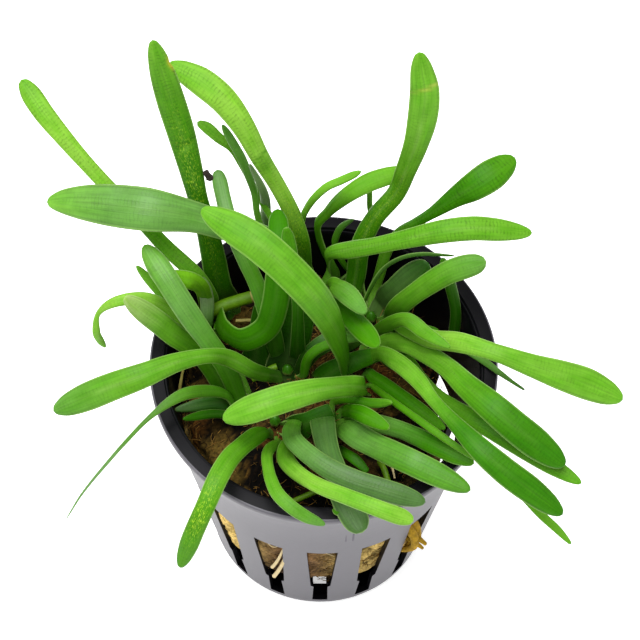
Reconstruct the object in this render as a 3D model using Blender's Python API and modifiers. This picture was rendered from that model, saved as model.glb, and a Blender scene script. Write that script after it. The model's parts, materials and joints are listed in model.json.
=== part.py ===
"""Dwarf sagittaria in a net pot.

Eight rosettes of strap leaves stand in a mineral wool plug inside a slotted plastic pot.
The file's unit is the metre and +Z is up. The origin is the middle of the pot's underside, and
the plant is looked at from the -Y side. Sizes and places in the tables are in millimetres.
"""

from collections import namedtuple
from math import cos, pi, radians, sin, sqrt

import bmesh
import bpy
from mathutils import Matrix, Vector

MM = 0.001

# Pot
POT_HEIGHT = 50.0
RIM_RADIUS = 26.5
RIM_INNER_RADIUS = 24.3
RIM_THICKNESS = 1.3
RIM_STEP = 0.5
RIM_CHAMFER = 0.3
WALL_TOP_RADIUS = 25.2
WALL_FOOT_RADIUS = 18.0
WALL_THICKNESS = 0.9
FLOOR_THICKNESS = 1.0
FOOT_CHAMFER = 0.5
POT_STEPS = 48
MERGE_DISTANCE = 0.00001

# Windows round the wall: a wide upper part, a step and a narrow lower part
WINDOW_COUNT = 16
WINDOW_TOP = 29.0
WINDOW_STEP = 10.0
WINDOW_SILL = 1.8
WINDOW_TOP_WIDTH = 4.4
WINDOW_STEP_WIDTH = 3.4
WINDOW_SILL_WIDTH = 2.4
WINDOW_INNER_REACH = 14.0
WINDOW_OUTER_REACH = 28.0
WINDOW_TURN = 1.8

# Slots in the floor
SLOT_COUNT = 8
SLOT_WIDTH = 2.2
SLOT_INNER_REACH = 8.5
SLOT_OUTER_REACH = 15.0
SLOT_OVERSHOOT = 1.0

# Plug: height, half size along X and half size along Y of each ring, bottom to top
PLUG_RINGS = (
    (7.0, 14.0, 14.5),
    (8.5, 16.0, 16.6),
    (16.0, 17.2, 18.0),
    (26.0, 18.4, 19.6),
    (36.0, 19.4, 20.6),
    (39.5, 19.2, 20.4),
    (40.8, 17.0, 18.0),
)
PLUG_TOP_SHIFT = Vector((-1.8, 0.6))
PLUG_SIDES = 24
PLUG_LUMP = 0.3

# Crowns: the short stems that the leaves grow from, by their place on the plug
CROWN_RADIUS = 1.1
CROWN_HALF_HEIGHT = 2.2
CROWN_FOOT = 41.2
CROWN_SIDES = 8
CROWN_RINGS = 5
CROWNS = {
    "crown_west": (-15.2, 12.3),
    "crown_north": (-1.2, 18.2),
    "crown_east": (7.2, 12.8),
    "crown_centre": (5.2, 1.0),
    "crown_middle": (-5.6, 2.8),
    "crown_southwest": (-10.6, -2.4),
    "crown_front": (-7.2, -6.2),
    "crown_south": (1.2, -4.8),
}

# Leaves: the section is a flat hexagon with two of its corners at the leaf's edges, and stations
# run from the foot, 0, to the tip, 1
LEAF_SIDES = 6
LEAF_STATIONS = (0.0, 0.1, 0.21, 0.33, 0.45, 0.57, 0.69, 0.79, 0.875, 0.945, 0.988)
FOOT_THICKNESS = 1.1
BLADE_THICKNESS = 0.7
FOOT_SHARE = 0.66
SAMPLES_PER_SPAN = 12
LIGHT = Vector((0.0, -0.45, 0.9))

# Each leaf: the share of its length that its tip takes to close, its route from foot to tip with
# its full width at each point, and how far its foot is rolled about its length, in degrees
Leaf = namedtuple("Leaf", "tip_share route foot_roll", defaults=(0,))
LEAVES = {
    "leaf_west_1": Leaf(0.06, route=(
        (-17.6, 12.8, 42.3, 1.7), (-18.4, 12.7, 49, 1.8), (-20.6, 13.6, 53, 1.9), (-24.2, 16, 55, 2.1),
        (-26.4, 17.2, 57.5, 2.1), (-35, 22.6, 65, 2.3), (-38.8, 25.6, 68, 2.5), (-42.8, 29, 71, 3.1),
        (-47, 34.4, 73, 3.1))),
    "leaf_west_2": Leaf(0.22, route=(
        (-15.2, 14.4, 42.3, 2.6), (-16.6, 14.4, 47, 2.8), (-18.2, 17.2, 58, 2.9), (-19.8, 18.6, 67, 3),
        (-21.4, 21.6, 75, 4), (-23.4, 24.4, 83, 4.2), (-25.8, 27.6, 93, 4.2))),
    "leaf_west_3": Leaf(0.25, route=(
        (-18.8, 10.8, 42.3, 1.4), (-18.6, 10.9, 49, 2.1), (-20, 10.5, 55, 2.7), (-26, 10, 57, 2.7))),
    "leaf_west_4": Leaf(0.08, foot_roll=60, route=(
        (-16.2, 9.2, 42.3, 2.4), (-16.6, 9.8, 45.5, 2.7), (-16, 7.2, 47.5, 2.8), (-13.6, 4.2, 49, 3.2),
        (-10.8, 3.4, 51, 3.6), (-8.6, 4.6, 53, 4), (-7.6, 6.4, 57, 4.1), (-7.2, 11, 61, 3.8),
        (-7.4, 15.2, 62, 3.3), (-7.8, 19.8, 62, 3))),
    "leaf_west_5": Leaf(0.4, route=(
        (-18.4, 7, 42.3, 1), (-19, 8.5, 46, 1.8), (-18, 10, 48.5, 1.9))),
    "leaf_north_1": Leaf(0.18, route=(
        (-3.6, 19.8, 42.3, 2.1), (-4.6, 20.4, 55, 2.3), (-6, 21.8, 59, 2.3), (-8.4, 23.4, 64.5, 2.6),
        (-10.4, 24.4, 68.5, 2.9), (-13.4, 27, 74, 3.6), (-16.6, 29.6, 77, 4.3), (-20.2, 32, 78, 4.6),
        (-24.6, 34.6, 78, 4.7))),
    "leaf_north_2": Leaf(0.28, route=(
        (-4.6, 18, 42.3, 2.1), (-8.8, 16.2, 58, 3.2), (-14.8, 15.2, 63.5, 4.1),
        (-19.2, 14.8, 66.5, 4.7), (-21.4, 14.6, 67.5, 5.1), (-24.4, 14.4, 68.5, 6.1),
        (-27.8, 14.6, 69, 6.6), (-37.4, 17, 66.5, 6.7), (-42.4, 17.8, 65, 6.7))),
    "leaf_north_3": Leaf(0.09, route=(
        (-3, 21.7, 42.3, 1), (-4.2, 22.2, 52, 1), (-3.8, 22.6, 56.5, 1), (-3.2, 22.6, 58.5, 1.2),
        (-2.4, 22.6, 60.5, 1.2), (-1.6, 23, 62, 1.3), (-0.4, 23.4, 63, 1.3), (1.2, 24, 63.5, 1.3),
        (4.8, 25.8, 64, 1.3))),
    "leaf_north_4": Leaf(0.21, route=(
        (0.6, 21.6, 42.3, 1.1), (-1.8, 23.2, 51, 1.3), (-1, 23.2, 53.5, 1.4), (-0.2, 23.2, 56, 1.6),
        (1, 22.8, 59, 2.1), (2.2, 22.6, 61.5, 2.4), (3.8, 22.6, 63.5, 2.7), (5.2, 23.4, 64, 2.9),
        (8.4, 24.6, 64.5, 3.1), (12.2, 26.5, 64, 3.1))),
    "leaf_north_5": Leaf(0.19, route=(
        (1.6, 19.6, 42.3, 1.8), (0.2, 18.4, 51, 2.2), (1.4, 17.4, 54, 2.3), (5.6, 15.8, 58, 2.5),
        (10.6, 14.8, 62, 2.8), (17.6, 14.6, 65.5, 3.6), (22.4, 15.2, 65.5, 3.7), (30.8, 16.6, 62.5, 3.7))),
    "leaf_north_6": Leaf(0.25, route=(
        (0.8, 17, 42.3, 1.6), (1, 12.8, 51.5, 2.7), (3.2, 7.2, 58.5, 3.2), (6, 3, 60, 3.2))),
    "leaf_north_7": Leaf(0.2, route=(
        (-1.4, 16.2, 42.3, 1.6), (2, 10, 50, 2.7), (5, 3, 56.5, 3.3), (8, -2, 59, 3.3))),
    "leaf_north_8": Leaf(0.3, route=(
        (3.6, 20.8, 42.3, 0.5), (1.2, 22, 48, 1), (1.9, 23, 52, 1.1), (4, 23.5, 54, 1.1))),
    "leaf_north_9": Leaf(0.06, route=(
        (-5.4, 20.4, 42.3, 1), (-7, 21.6, 50.5, 1), (-10.4, 24.8, 56, 1), (-13.6, 27.8, 62, 1.2),
        (-15.2, 28.6, 65.5, 1.5), (-16.8, 28.8, 67, 1.6), (-18.4, 29.8, 68, 1.8),
        (-20.4, 30.8, 68.5, 1.8))),
    "leaf_north_10": Leaf(0.1, route=(
        (-7.4, 18.8, 42.3, 1), (-10.8, 22.4, 54.5, 1), (-11.4, 24, 59, 1.1), (-12.4, 25, 63, 1.3),
        (-13.4, 26, 66, 1.4), (-16.4, 28.4, 71.5, 1.3))),
    "leaf_east_1": Leaf(0.17, route=(
        (4.2, 15.8, 42.3, 2.1), (5.4, 20.2, 54, 2.4), (7.6, 21.4, 59, 2.6), (10.2, 22.2, 64, 2.9),
        (11.4, 22.4, 70, 3.2), (12.2, 23, 73, 3.4), (12.6, 23.2, 76, 3.8), (13.2, 24.4, 80, 4.4),
        (13.4, 26, 84, 4.5), (12.2, 29.2, 90, 4.5))),
    "leaf_east_2": Leaf(0.14, route=(
        (7.6, 17.2, 42.3, 1.2), (10, 21, 52, 1.4), (14.8, 20.4, 60, 1.7), (17.8, 20.4, 64, 2.6),
        (19.2, 20.8, 65.5, 3.3), (20.6, 20.8, 67, 3.8), (21.8, 21.2, 68, 4.5), (23.8, 22.2, 69, 4.8),
        (27.8, 25.8, 69, 4.8))),
    "leaf_east_3": Leaf(0.06, route=(
        (5.6, 20, 42.3, 0.8), (6.6, 22.8, 52, 0.8), (6.4, 24.8, 54, 0.9), (6.2, 25.4, 59, 0.9),
        (5.8, 26.2, 62, 0.8))),
    "leaf_east_4": Leaf(0.4, route=(
        (5.2, 13.4, 42.3, 0.5), (8.4, 16.2, 50.5, 0.9), (13, 16, 56, 1), (19.5, 15.5, 57, 1))),
    "leaf_east_5": Leaf(0.12, route=(
        (10, 12.2, 42.3, 1.8), (12, 10.3, 51.5, 2.9), (18, 10.5, 60, 3.6), (23.8, 11, 63, 3.6))),
    "leaf_east_6": Leaf(0.35, route=(
        (8.8, 15, 42.3, 2.4), (10.6, 13.4, 49, 4.2), (15.5, 14.7, 56, 4.8))),
    "leaf_east_7": Leaf(0.2, route=(
        (20, 8.4, 41.8, 1), (20, 10.4, 50, 1.7), (17.5, 14.5, 58, 1.9))),
    "leaf_east_8": Leaf(0.14, route=(
        (10.4, 9, 42.3, 1.6), (11.4, 7.6, 49, 1.9), (14.4, 3.4, 53.5, 2.3), (17.2, 0.8, 56.5, 2.7),
        (20, -0.8, 59, 3), (23, -2.2, 60.5, 2.8), (25.8, -3.4, 60.5, 2.7), (30.4, -4.2, 59, 3.4),
        (35, -4.6, 57, 4.4), (39, -4.8, 55, 4.8), (45, -5.8, 52, 4.8))),
    "leaf_east_9": Leaf(0.15, route=(
        (7.6, 7.2, 42.3, 1.9), (11.6, 5, 48.5, 2.2), (17.6, -2.2, 55, 2.9), (21, -7.4, 58, 3.7),
        (22.6, -9.4, 59, 4.1), (25.2, -12.2, 59.5, 4.5), (29, -14.8, 58, 4.7), (35.8, -18.2, 54, 4.7))),
    "leaf_east_10": Leaf(0.14, route=(
        (6, 4.8, 42.3, 1.5), (8.8, 3.4, 47.5, 1.7), (12.4, -1.4, 51.5, 2.3), (14.8, -5.8, 54.5, 2.2),
        (17, -10.6, 57, 1.9), (18.2, -12.6, 58, 2), (20.8, -15.8, 59, 2.8), (23.6, -19.4, 59.5, 3.6),
        (27.2, -21.8, 58, 4), (29.2, -22.8, 57, 4), (35.4, -25.6, 53, 4))),
    "leaf_east_11": Leaf(0.2, route=(
        (12, 6.8, 42.3, 1.4), (16.5, -4, 49, 2.1), (25, -12.5, 54, 2.9), (38.5, -19.5, 51, 2.9))),
    "leaf_east_12": Leaf(0.3, route=(
        (7.6, 10, 42.3, 1.2), (11.8, 5, 55.3, 2.3), (15, -0.5, 60.8, 2.3), (18.5, -3.5, 62, 2.3))),
    "leaf_centre_1": Leaf(0.2, foot_roll=70, route=(
        (3.6, 2, 42.3, 2.6), (2.5, 1, 54, 3.4), (-1, 0, 68, 4.9), (-9.5, 5, 75, 5.2), (-18.5, 11, 75, 5.2))),
    "leaf_centre_2": Leaf(0.17, route=(
        (6, -1, 42.3, 2.2), (6, -3.2, 48.5, 2.3), (4, -5, 52, 2.8), (-0.4, -8.4, 57, 3.5),
        (-4.8, -10.8, 59, 4.2), (-8.8, -12.4, 59, 4.3), (-14.6, -13.4, 56, 4.3))),
    "leaf_centre_3": Leaf(0.3, route=(
        (7.2, 0.6, 42.3, 0.6), (11.5, -7, 50, 1), (17.5, -13.8, 54, 1.2), (23, -17.6, 53.5, 1.2))),
    "leaf_centre_4": Leaf(0.3, route=(
        (6.6, 2.8, 42.3, 1.2), (12, -3.5, 46.5, 2.2), (18.5, -10.5, 49.5, 2.3))),
    "leaf_middle_1": Leaf(0.14, route=(
        (-7.4, 1.6, 42.3, 1.5), (-10.2, -2, 50, 1.8), (-13.2, -2.4, 54, 2.2), (-15.8, -3.8, 58, 2.3),
        (-18.2, -5.8, 61, 2.3), (-22.2, -8.2, 63, 3), (-24.6, -9.8, 63.5, 3.5), (-28.6, -11.4, 63, 4),
        (-31.8, -12, 61.5, 4.2), (-34.6, -12.6, 60, 4.2), (-39.4, -13.4, 57, 4.3))),
    "leaf_middle_2": Leaf(0.05, route=(
        (-7, 4.6, 42.3, 1.6), (-8, 5.2, 49, 2.2), (-9.4, 8.4, 52.5, 2.4), (-11, 11.2, 55.5, 2.5),
        (-13.2, 14.2, 59, 2.5), (-15.4, 18.8, 62, 2.4), (-17.2, 25.6, 63.5, 2.3))),
    "leaf_middle_3": Leaf(0.12, route=(
        (-4.2, 4.4, 42.3, 1.7), (-4.1, 3.8, 50, 1.8), (-4.3, 6.2, 58.5, 1.8), (-5.2, 9.3, 63.5, 2.1),
        (-6.2, 12.5, 68.5, 2.3))),
    "leaf_middle_4": Leaf(0.2, route=(
        (-3.2, 1.8, 42.3, 0.9), (-2, 2.8, 47.5, 1.4), (2.2, 4.4, 49.5, 1.8), (7, 5, 50.5, 1.8))),
    "leaf_southwest_1": Leaf(0.15, route=(
        (-12.4, -3.8, 42.3, 1.7), (-15, -1.5, 51, 2.5), (-20, 2.5, 58, 3.5), (-24, 7, 62, 3.6),
        (-27.5, 12, 63, 3.6))),
    "leaf_southwest_2": Leaf(0.21, route=(
        (-14.6, -1.8, 42.3, 2.2), (-18.2, 1.2, 48, 2.7), (-22.4, 2, 53, 3.4), (-24.6, 2.6, 55.5, 3.5),
        (-30, 4, 61, 3.2))),
    "leaf_southwest_3": Leaf(0.07, route=(
        (-13, -0.2, 42.3, 1.2), (-17.9, 3.3, 48.5, 1.5), (-22.8, 5.4, 54, 1.8), (-25.6, 5.8, 57, 2),
        (-28, 5, 59, 2.1), (-30, 4.6, 59.5, 1.9), (-31.6, 4.2, 59, 1.6), (-33.2, 4, 58, 1.1),
        (-34.2, 3.4, 56.5, 0.8), (-34.4, 2.4, 55, 1), (-34.4, 1.8, 53, 1.3), (-33.4, 2, 49, 1))),
    "leaf_southwest_4": Leaf(0.2, route=(
        (-13, 1.6, 42.3, 0.9), (-18.5, 4.9, 46.3, 1.2), (-24.5, 8.5, 53.5, 1.6), (-29, 12, 57, 1.6))),
    "leaf_southwest_5": Leaf(0.04, route=(
        (-13, -5, 42.3, 1.2), (-15.4, -4.5, 48, 1.4), (-20.4, -7.8, 53, 1.5), (-22.4, -9.4, 54, 1.6),
        (-23.6, -10.4, 54, 1.6), (-24.6, -11.2, 53.5, 1), (-26.4, -12.8, 53, 0.7),
        (-30, -15.8, 50, 0.6), (-35.6, -18.4, 41, 0.4), (-38.8, -20.4, 34.5, 0.2))),
    "leaf_southwest_6": Leaf(0.4, route=(
        (-10.4, -5.8, 42.3, 0.7), (-16.5, -7, 45.5, 1.4), (-21, -9.4, 48, 1.5))),
    "leaf_front_1": Leaf(0.15, route=(
        (-8, -8.6, 42.3, 1.7), (-9, -11, 47.5, 2), (-11.2, -14.6, 51, 2.3), (-12.8, -17.8, 53.5, 2.8),
        (-14.2, -21, 55.5, 3.1), (-15.8, -25.6, 55.5, 2.9), (-18, -29.4, 51.5, 2.9),
        (-20.2, -32.4, 45, 2.9))),
    "leaf_front_2": Leaf(0.2, route=(
        (-6.6, -9.8, 42.3, 1), (-8, -16, 50, 1.5), (-6.5, -24, 55, 2), (-3, -27.5, 55, 2),
        (1, -28, 52, 2))),
    "leaf_front_3": Leaf(0.06, route=(
        (-4.6, -9.4, 42.3, 1.8), (-5.4, -14.2, 46.5, 2), (-3.6, -18.8, 50.5, 2.2),
        (0, -23, 54.5, 2.3), (4.6, -26, 57, 2.4), (9.2, -28, 57.5, 2.5), (13.6, -28.8, 56, 2.5))),
    "leaf_front_4": Leaf(0.15, route=(
        (-4.4, -6.2, 42.3, 1.6), (-4, -14, 51, 2.5), (2, -20.2, 53.7, 3.2), (8.5, -22.6, 53.6, 3.3),
        (15.5, -24, 52.3, 3.3))),
    "leaf_south_1": Leaf(0.25, route=(
        (3.2, -6.4, 42.3, 2.7), (3.8, -9.4, 47, 2.9), (6.4, -13.2, 50.5, 3.5), (11.2, -17.4, 54, 3.9),
        (14.4, -19.2, 54.5, 3.8), (22, -22.2, 53, 3.8))),
    "leaf_south_2": Leaf(0.3, route=(
        (3.2, -4, 42.3, 1.3), (5.5, -10, 53, 2.6), (10, -13.5, 55, 2.6))),
    "leaf_south_3": Leaf(0.11, route=(
        (0.2, -6.8, 42.3, 2.4), (0, -7.8, 46.5, 2.8), (0.8, -13.4, 49, 3.2), (2.4, -19.4, 51, 3.7),
        (3.8, -23.8, 52, 4.2), (6.4, -28.6, 51, 4.2))),
    "leaf_south_4": Leaf(0.16, route=(
        (4.8, -5.2, 42.3, 1.6), (11.8, -10, 48, 2.6), (17.6, -14.6, 51.5, 2.9), (22.6, -17.4, 52.2, 2.5))),
    "leaf_south_5": Leaf(0.3, route=(
        (1.6, -2.6, 42.3, 0.9), (3.4, -3.5, 45.5, 1.4), (7, -5.7, 48.2, 1.5), (10.5, -7, 51, 1.6))),
}

# Colour, roughness
POT_PAINT = ((0.06, 0.06, 0.07), 0.45)
PLUG_PAINT = ((0.25, 0.14, 0.06), 0.95)
CROWN_PAINT = ((0.55, 0.62, 0.2), 0.5)
LEAF_PAINT = ((0.1, 0.36, 0.03), 0.4)


def reset_scene():
    """Empty the scene and give back the collections for the parts and for the cutters."""
    for item in list(bpy.data.objects):
        bpy.data.objects.remove(item, do_unlink=True)
    for old in list(bpy.data.collections):
        bpy.data.collections.remove(old)
    parts = bpy.data.collections.new("potted_dwarf_sagittaria")
    cutters = bpy.data.collections.new("cutters")
    bpy.context.scene.collection.children.link(parts)
    bpy.context.scene.collection.children.link(cutters)
    return parts, cutters


def paint(item, colour_and_roughness):
    """Give an object a material of its own."""
    colour, roughness = colour_and_roughness
    material = bpy.data.materials.new(item.name + "_finish")
    material.use_nodes = True
    shader = material.node_tree.nodes["Principled BSDF"]
    shader.inputs["Base Color"].default_value = (*colour, 1.0)
    shader.inputs["Roughness"].default_value = roughness
    shader.inputs["Metallic"].default_value = 0.0
    item.data.materials.append(material)


def finish_mesh(name, shape, collection):
    """Turn a bmesh in millimetres into a named object in metres, with its faces pointing out."""
    bmesh.ops.recalc_face_normals(shape, faces=shape.faces)
    bmesh.ops.scale(shape, vec=(MM, MM, MM), verts=shape.verts)
    mesh = bpy.data.meshes.new(name)
    shape.to_mesh(mesh)
    shape.free()
    item = bpy.data.objects.new(name, mesh)
    collection.objects.link(item)
    return item


def wall_radius(height):
    """Outer radius of the pot's wall at a height."""
    return WALL_FOOT_RADIUS + (WALL_TOP_RADIUS - WALL_FOOT_RADIUS) * height / POT_HEIGHT


def pot_profile():
    """The pot's half section, from the middle of the floor up the inside and down the outside."""
    lip_foot = POT_HEIGHT - RIM_THICKNESS
    step_height = POT_HEIGHT - RIM_STEP
    step_radius = wall_radius(step_height) - WALL_THICKNESS - RIM_CHAMFER
    return (
        (0.0, FLOOR_THICKNESS),
        (wall_radius(FLOOR_THICKNESS) - WALL_THICKNESS, FLOOR_THICKNESS),
        (step_radius, step_height),
        (RIM_INNER_RADIUS, step_height),
        (RIM_INNER_RADIUS, POT_HEIGHT),
        (RIM_RADIUS - RIM_CHAMFER, POT_HEIGHT),
        (RIM_RADIUS, POT_HEIGHT - RIM_CHAMFER),
        (RIM_RADIUS, lip_foot),
        (wall_radius(lip_foot), lip_foot),
        (wall_radius(FOOT_CHAMFER), FOOT_CHAMFER),
        (WALL_FOOT_RADIUS - FOOT_CHAMFER, 0.0),
        (0.0, 0.0),
    )


def window_cutter(name, angle, collection):
    """One window: its outline at the inner reach, pulled straight out through the wall."""
    half_outline = (
        (WINDOW_SILL_WIDTH / 2, WINDOW_SILL),
        (WINDOW_SILL_WIDTH / 2, WINDOW_STEP),
        (WINDOW_STEP_WIDTH / 2, WINDOW_STEP),
        (WINDOW_TOP_WIDTH / 2, WINDOW_TOP),
    )
    outline = list(half_outline) + [(-side, height) for side, height in reversed(half_outline)]
    shape = bmesh.new()
    corners = [shape.verts.new((WINDOW_INNER_REACH, side, height)) for side, height in outline]
    face = bmesh.ops.contextual_create(shape, geom=corners)["faces"]
    grown = bmesh.ops.extrude_face_region(shape, geom=face)["geom"]
    moved = [part for part in grown if isinstance(part, bmesh.types.BMVert)]
    bmesh.ops.translate(shape, verts=moved, vec=(WINDOW_OUTER_REACH - WINDOW_INNER_REACH, 0, 0))
    return finish_cutter(name, shape, angle, collection)


def slot_cutter(name, angle, collection):
    """One slot through the floor."""
    length = SLOT_OUTER_REACH - SLOT_INNER_REACH
    middle = (SLOT_OUTER_REACH + SLOT_INNER_REACH) / 2
    depth = FLOOR_THICKNESS + 2 * SLOT_OVERSHOOT
    shape = bmesh.new()
    place = Matrix.Translation((middle, 0, FLOOR_THICKNESS / 2))
    bmesh.ops.create_cube(shape, size=1.0, matrix=place @ Matrix.Diagonal((length, SLOT_WIDTH, depth, 1)))
    return finish_cutter(name, shape, angle, collection)


def finish_cutter(name, shape, angle, collection):
    """Turn a cutter to its place round the pot, and keep it out of the renders."""
    bmesh.ops.rotate(shape, cent=(0, 0, 0), matrix=Matrix.Rotation(angle, 3, "Z"), verts=shape.verts)
    cutter = finish_mesh(name, shape, collection)
    cutter.display_type = "WIRE"
    cutter.hide_render = True
    return cutter


def make_pot(parts, cutters):
    """The net pot: a turned shell, with windows cut round its wall and slots through its floor."""
    profile = bmesh.new()
    points = [profile.verts.new((radius, 0, height)) for radius, height in pot_profile()]
    for start, end in zip(points, points[1:]):
        profile.edges.new((start, end))
    bmesh.ops.scale(profile, vec=(MM, MM, MM), verts=profile.verts)
    mesh = bpy.data.meshes.new("net_pot")
    profile.to_mesh(mesh)
    profile.free()
    pot = bpy.data.objects.new("net_pot", mesh)
    parts.objects.link(pot)
    turn = pot.modifiers.new("turn", "SCREW")
    turn.angle = 2 * pi
    turn.steps = POT_STEPS
    turn.render_steps = POT_STEPS
    turn.use_merge_vertices = True
    turn.merge_threshold = MERGE_DISTANCE
    for index in range(WINDOW_COUNT):
        angle = 2 * pi * index / WINDOW_COUNT - pi / 2 + radians(WINDOW_TURN)
        window_cutter("window_cutter_%02d" % (index + 1), angle, cutters)
    for index in range(SLOT_COUNT):
        angle = 2 * pi * index / SLOT_COUNT - pi / 2 + radians(WINDOW_TURN)
        slot_cutter("slot_cutter_%02d" % (index + 1), angle, cutters)
    cut = pot.modifiers.new("windows_and_slots", "BOOLEAN")
    cut.operation = "DIFFERENCE"
    cut.solver = "EXACT"
    cut.operand_type = "COLLECTION"
    cut.collection = cutters
    paint(pot, POT_PAINT)


def bridge(shape, rings):
    """Join each ring of edges to the next, and close the two ends."""
    for lower, upper in zip(rings, rings[1:]):
        bmesh.ops.bridge_loops(shape, edges=lower + upper)
    for ring in (rings[0], rings[-1]):
        bmesh.ops.contextual_create(shape, geom=ring)


def add_ring(shape, sides, place):
    """One ring of edges, a unit circle taken through a matrix."""
    made = bmesh.ops.create_circle(shape, cap_ends=False, radius=1.0, segments=sides, matrix=place)
    corners = set(made["verts"])
    return [edge for edge in shape.edges if set(edge.verts) <= corners]


def make_plug(parts):
    """The mineral wool plug: an uneven oval block that is wider towards its top."""
    shape = bmesh.new()
    rings = []
    top = PLUG_RINGS[-1][0]
    for height, half_x, half_y in PLUG_RINGS:
        shift = PLUG_TOP_SHIFT * (height / top)
        place = Matrix.Translation((shift.x, shift.y, height)) @ Matrix.Diagonal((half_x, half_y, 1, 1))
        rings.append(add_ring(shape, PLUG_SIDES, place))
    for index, vert in enumerate(shape.verts):
        outward = Vector((vert.co.x, vert.co.y, 0)).normalized()
        vert.co += outward * PLUG_LUMP * sin(index * 1.7) * cos(index * 0.9)
    bridge(shape, rings)
    paint(finish_mesh("wool_plug", shape, parts), PLUG_PAINT)


def make_crown(name, place, parts):
    """A crown: a small upright spindle on the plug."""
    middle = (*place, CROWN_FOOT + CROWN_HALF_HEIGHT)
    size = Matrix.Diagonal((CROWN_RADIUS, CROWN_RADIUS, CROWN_HALF_HEIGHT, 1))
    shape = bmesh.new()
    bmesh.ops.create_uvsphere(
        shape, u_segments=CROWN_SIDES, v_segments=CROWN_RINGS, radius=1.0,
        matrix=Matrix.Translation(middle) @ size)
    paint(finish_mesh(name, shape, parts), CROWN_PAINT)


def smooth_route(points):
    """A smooth curve through the points, and the distance along it at each of its samples."""
    route = [Vector(point) for point in points]
    ends = [2 * route[0] - route[1]] + route + [2 * route[-1] - route[-2]]
    curve = []
    for before, start, end, after in zip(ends, ends[1:], ends[2:], ends[3:]):
        for index in range(SAMPLES_PER_SPAN):
            t = index / SAMPLES_PER_SPAN
            pull = (end - before) * t + (2 * before - 5 * start + 4 * end - after) * t ** 2
            curve.append(start + (pull + (3 * (start - end) + after - before) * t ** 3) / 2)
    curve.append(route[-1])
    distances = [0.0]
    for start, end in zip(curve, curve[1:]):
        distances.append(distances[-1] + (end - start).to_3d().length)
    return curve, distances


def along(curve, distances, share):
    """The point, the width and the direction at a share of the curve's length."""
    wanted = share * distances[-1]
    index = max(i for i, distance in enumerate(distances[:-1]) if distance <= wanted)
    step = (wanted - distances[index]) / (distances[index + 1] - distances[index])
    direction = (curve[index + 1] - curve[index]).to_3d().normalized()
    place = curve[index].lerp(curve[index + 1], step)
    return place.to_3d(), place.w, direction


def ease(share):
    """A share from 0 to 1 that starts and ends gently."""
    share = min(max(share, 0.0), 1.0)
    return share * share * (3 - 2 * share)


def tip_rounding(leaf, share):
    """How much of its width a leaf keeps: all of it up to the tip, which closes as half an oval."""
    into_tip = max(share - (1 - leaf.tip_share), 0.0) / leaf.tip_share
    return sqrt(1 - into_tip ** 2)


def make_leaf(name, leaf, parts):
    """One strap leaf, a loft of flat sections along its route with its face to the light."""
    curve, distances = smooth_route(leaf.route)
    shape = bmesh.new()
    rings = []
    for share in LEAF_STATIONS:
        centre, width, direction = along(curve, distances, share)
        across = direction.cross(LIGHT).normalized()
        grown = ease(share / FOOT_SHARE)
        across.rotate(Matrix.Rotation(radians(leaf.foot_roll * (1 - grown)), 3, direction))
        half_width = across * width * tip_rounding(leaf, share) / 2
        thickness = FOOT_THICKNESS + (BLADE_THICKNESS - FOOT_THICKNESS) * grown
        half_thickness = across.cross(direction) * thickness / 2
        section = Matrix((half_width, half_thickness, direction)).transposed().to_4x4()
        place = Matrix.Translation(centre) @ section @ Matrix.Rotation(pi / LEAF_SIDES, 4, "Z")
        rings.append(add_ring(shape, LEAF_SIDES, place))
    bridge(shape, rings)
    paint(finish_mesh(name, shape, parts), LEAF_PAINT)


def main():
    """Build the pot, the plug, the crowns and the leaves."""
    parts, cutters = reset_scene()
    make_pot(parts, cutters)
    make_plug(parts)
    for name, place in CROWNS.items():
        make_crown(name, place, parts)
    for name, leaf in LEAVES.items():
        make_leaf(name, leaf, parts)
    for item in parts.objects:
        item.data.shade_smooth()


main()
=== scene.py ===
"""Potted dwarf sagittaria: leaves, crowns, wool, roots and net pot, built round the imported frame.

The unit is the metre and +Z is up. Sizes in the tables are in millimetres. The plant is looked at
from the -Y side, from high up.
"""

import json
import logging
import math
import random
from dataclasses import dataclass
from enum import Enum

import bmesh
import bpy
import numpy as np
from mathutils import Matrix, Vector, noise

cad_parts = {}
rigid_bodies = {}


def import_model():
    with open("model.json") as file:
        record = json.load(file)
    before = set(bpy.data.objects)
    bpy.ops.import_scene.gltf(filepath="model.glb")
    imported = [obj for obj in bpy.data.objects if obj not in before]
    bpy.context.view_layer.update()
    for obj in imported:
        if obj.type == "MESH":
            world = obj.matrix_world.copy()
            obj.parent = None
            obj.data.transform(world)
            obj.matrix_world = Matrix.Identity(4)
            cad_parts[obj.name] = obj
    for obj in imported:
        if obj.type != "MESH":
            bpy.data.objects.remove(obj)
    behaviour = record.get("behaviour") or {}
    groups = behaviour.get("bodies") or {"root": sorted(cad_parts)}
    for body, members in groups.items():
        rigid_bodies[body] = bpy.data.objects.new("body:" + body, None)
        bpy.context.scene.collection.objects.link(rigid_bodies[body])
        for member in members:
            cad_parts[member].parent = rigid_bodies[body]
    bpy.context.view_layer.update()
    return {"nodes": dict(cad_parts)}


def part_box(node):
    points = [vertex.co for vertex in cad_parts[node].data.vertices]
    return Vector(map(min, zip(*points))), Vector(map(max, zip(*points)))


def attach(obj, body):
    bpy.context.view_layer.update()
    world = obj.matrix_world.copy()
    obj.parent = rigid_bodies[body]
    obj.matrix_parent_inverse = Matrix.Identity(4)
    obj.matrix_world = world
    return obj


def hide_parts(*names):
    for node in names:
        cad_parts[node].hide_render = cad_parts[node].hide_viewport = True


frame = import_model()

LOG = logging.getLogger("sagittaria")
MM = 0.001
ROOT_BODY = "root"
LIGHT = Vector((0.0, -0.45, 0.9)).normalized()
VIEW = Vector((0.0, -0.485, 0.875))
WELD = 1e-6
# How much of its look in full light a surface's own colour is, because the studio is that bright
SURFACE_SHARE = 0.6

Point = tuple[float, float, float]
Colour = tuple[float, float, float]


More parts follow.
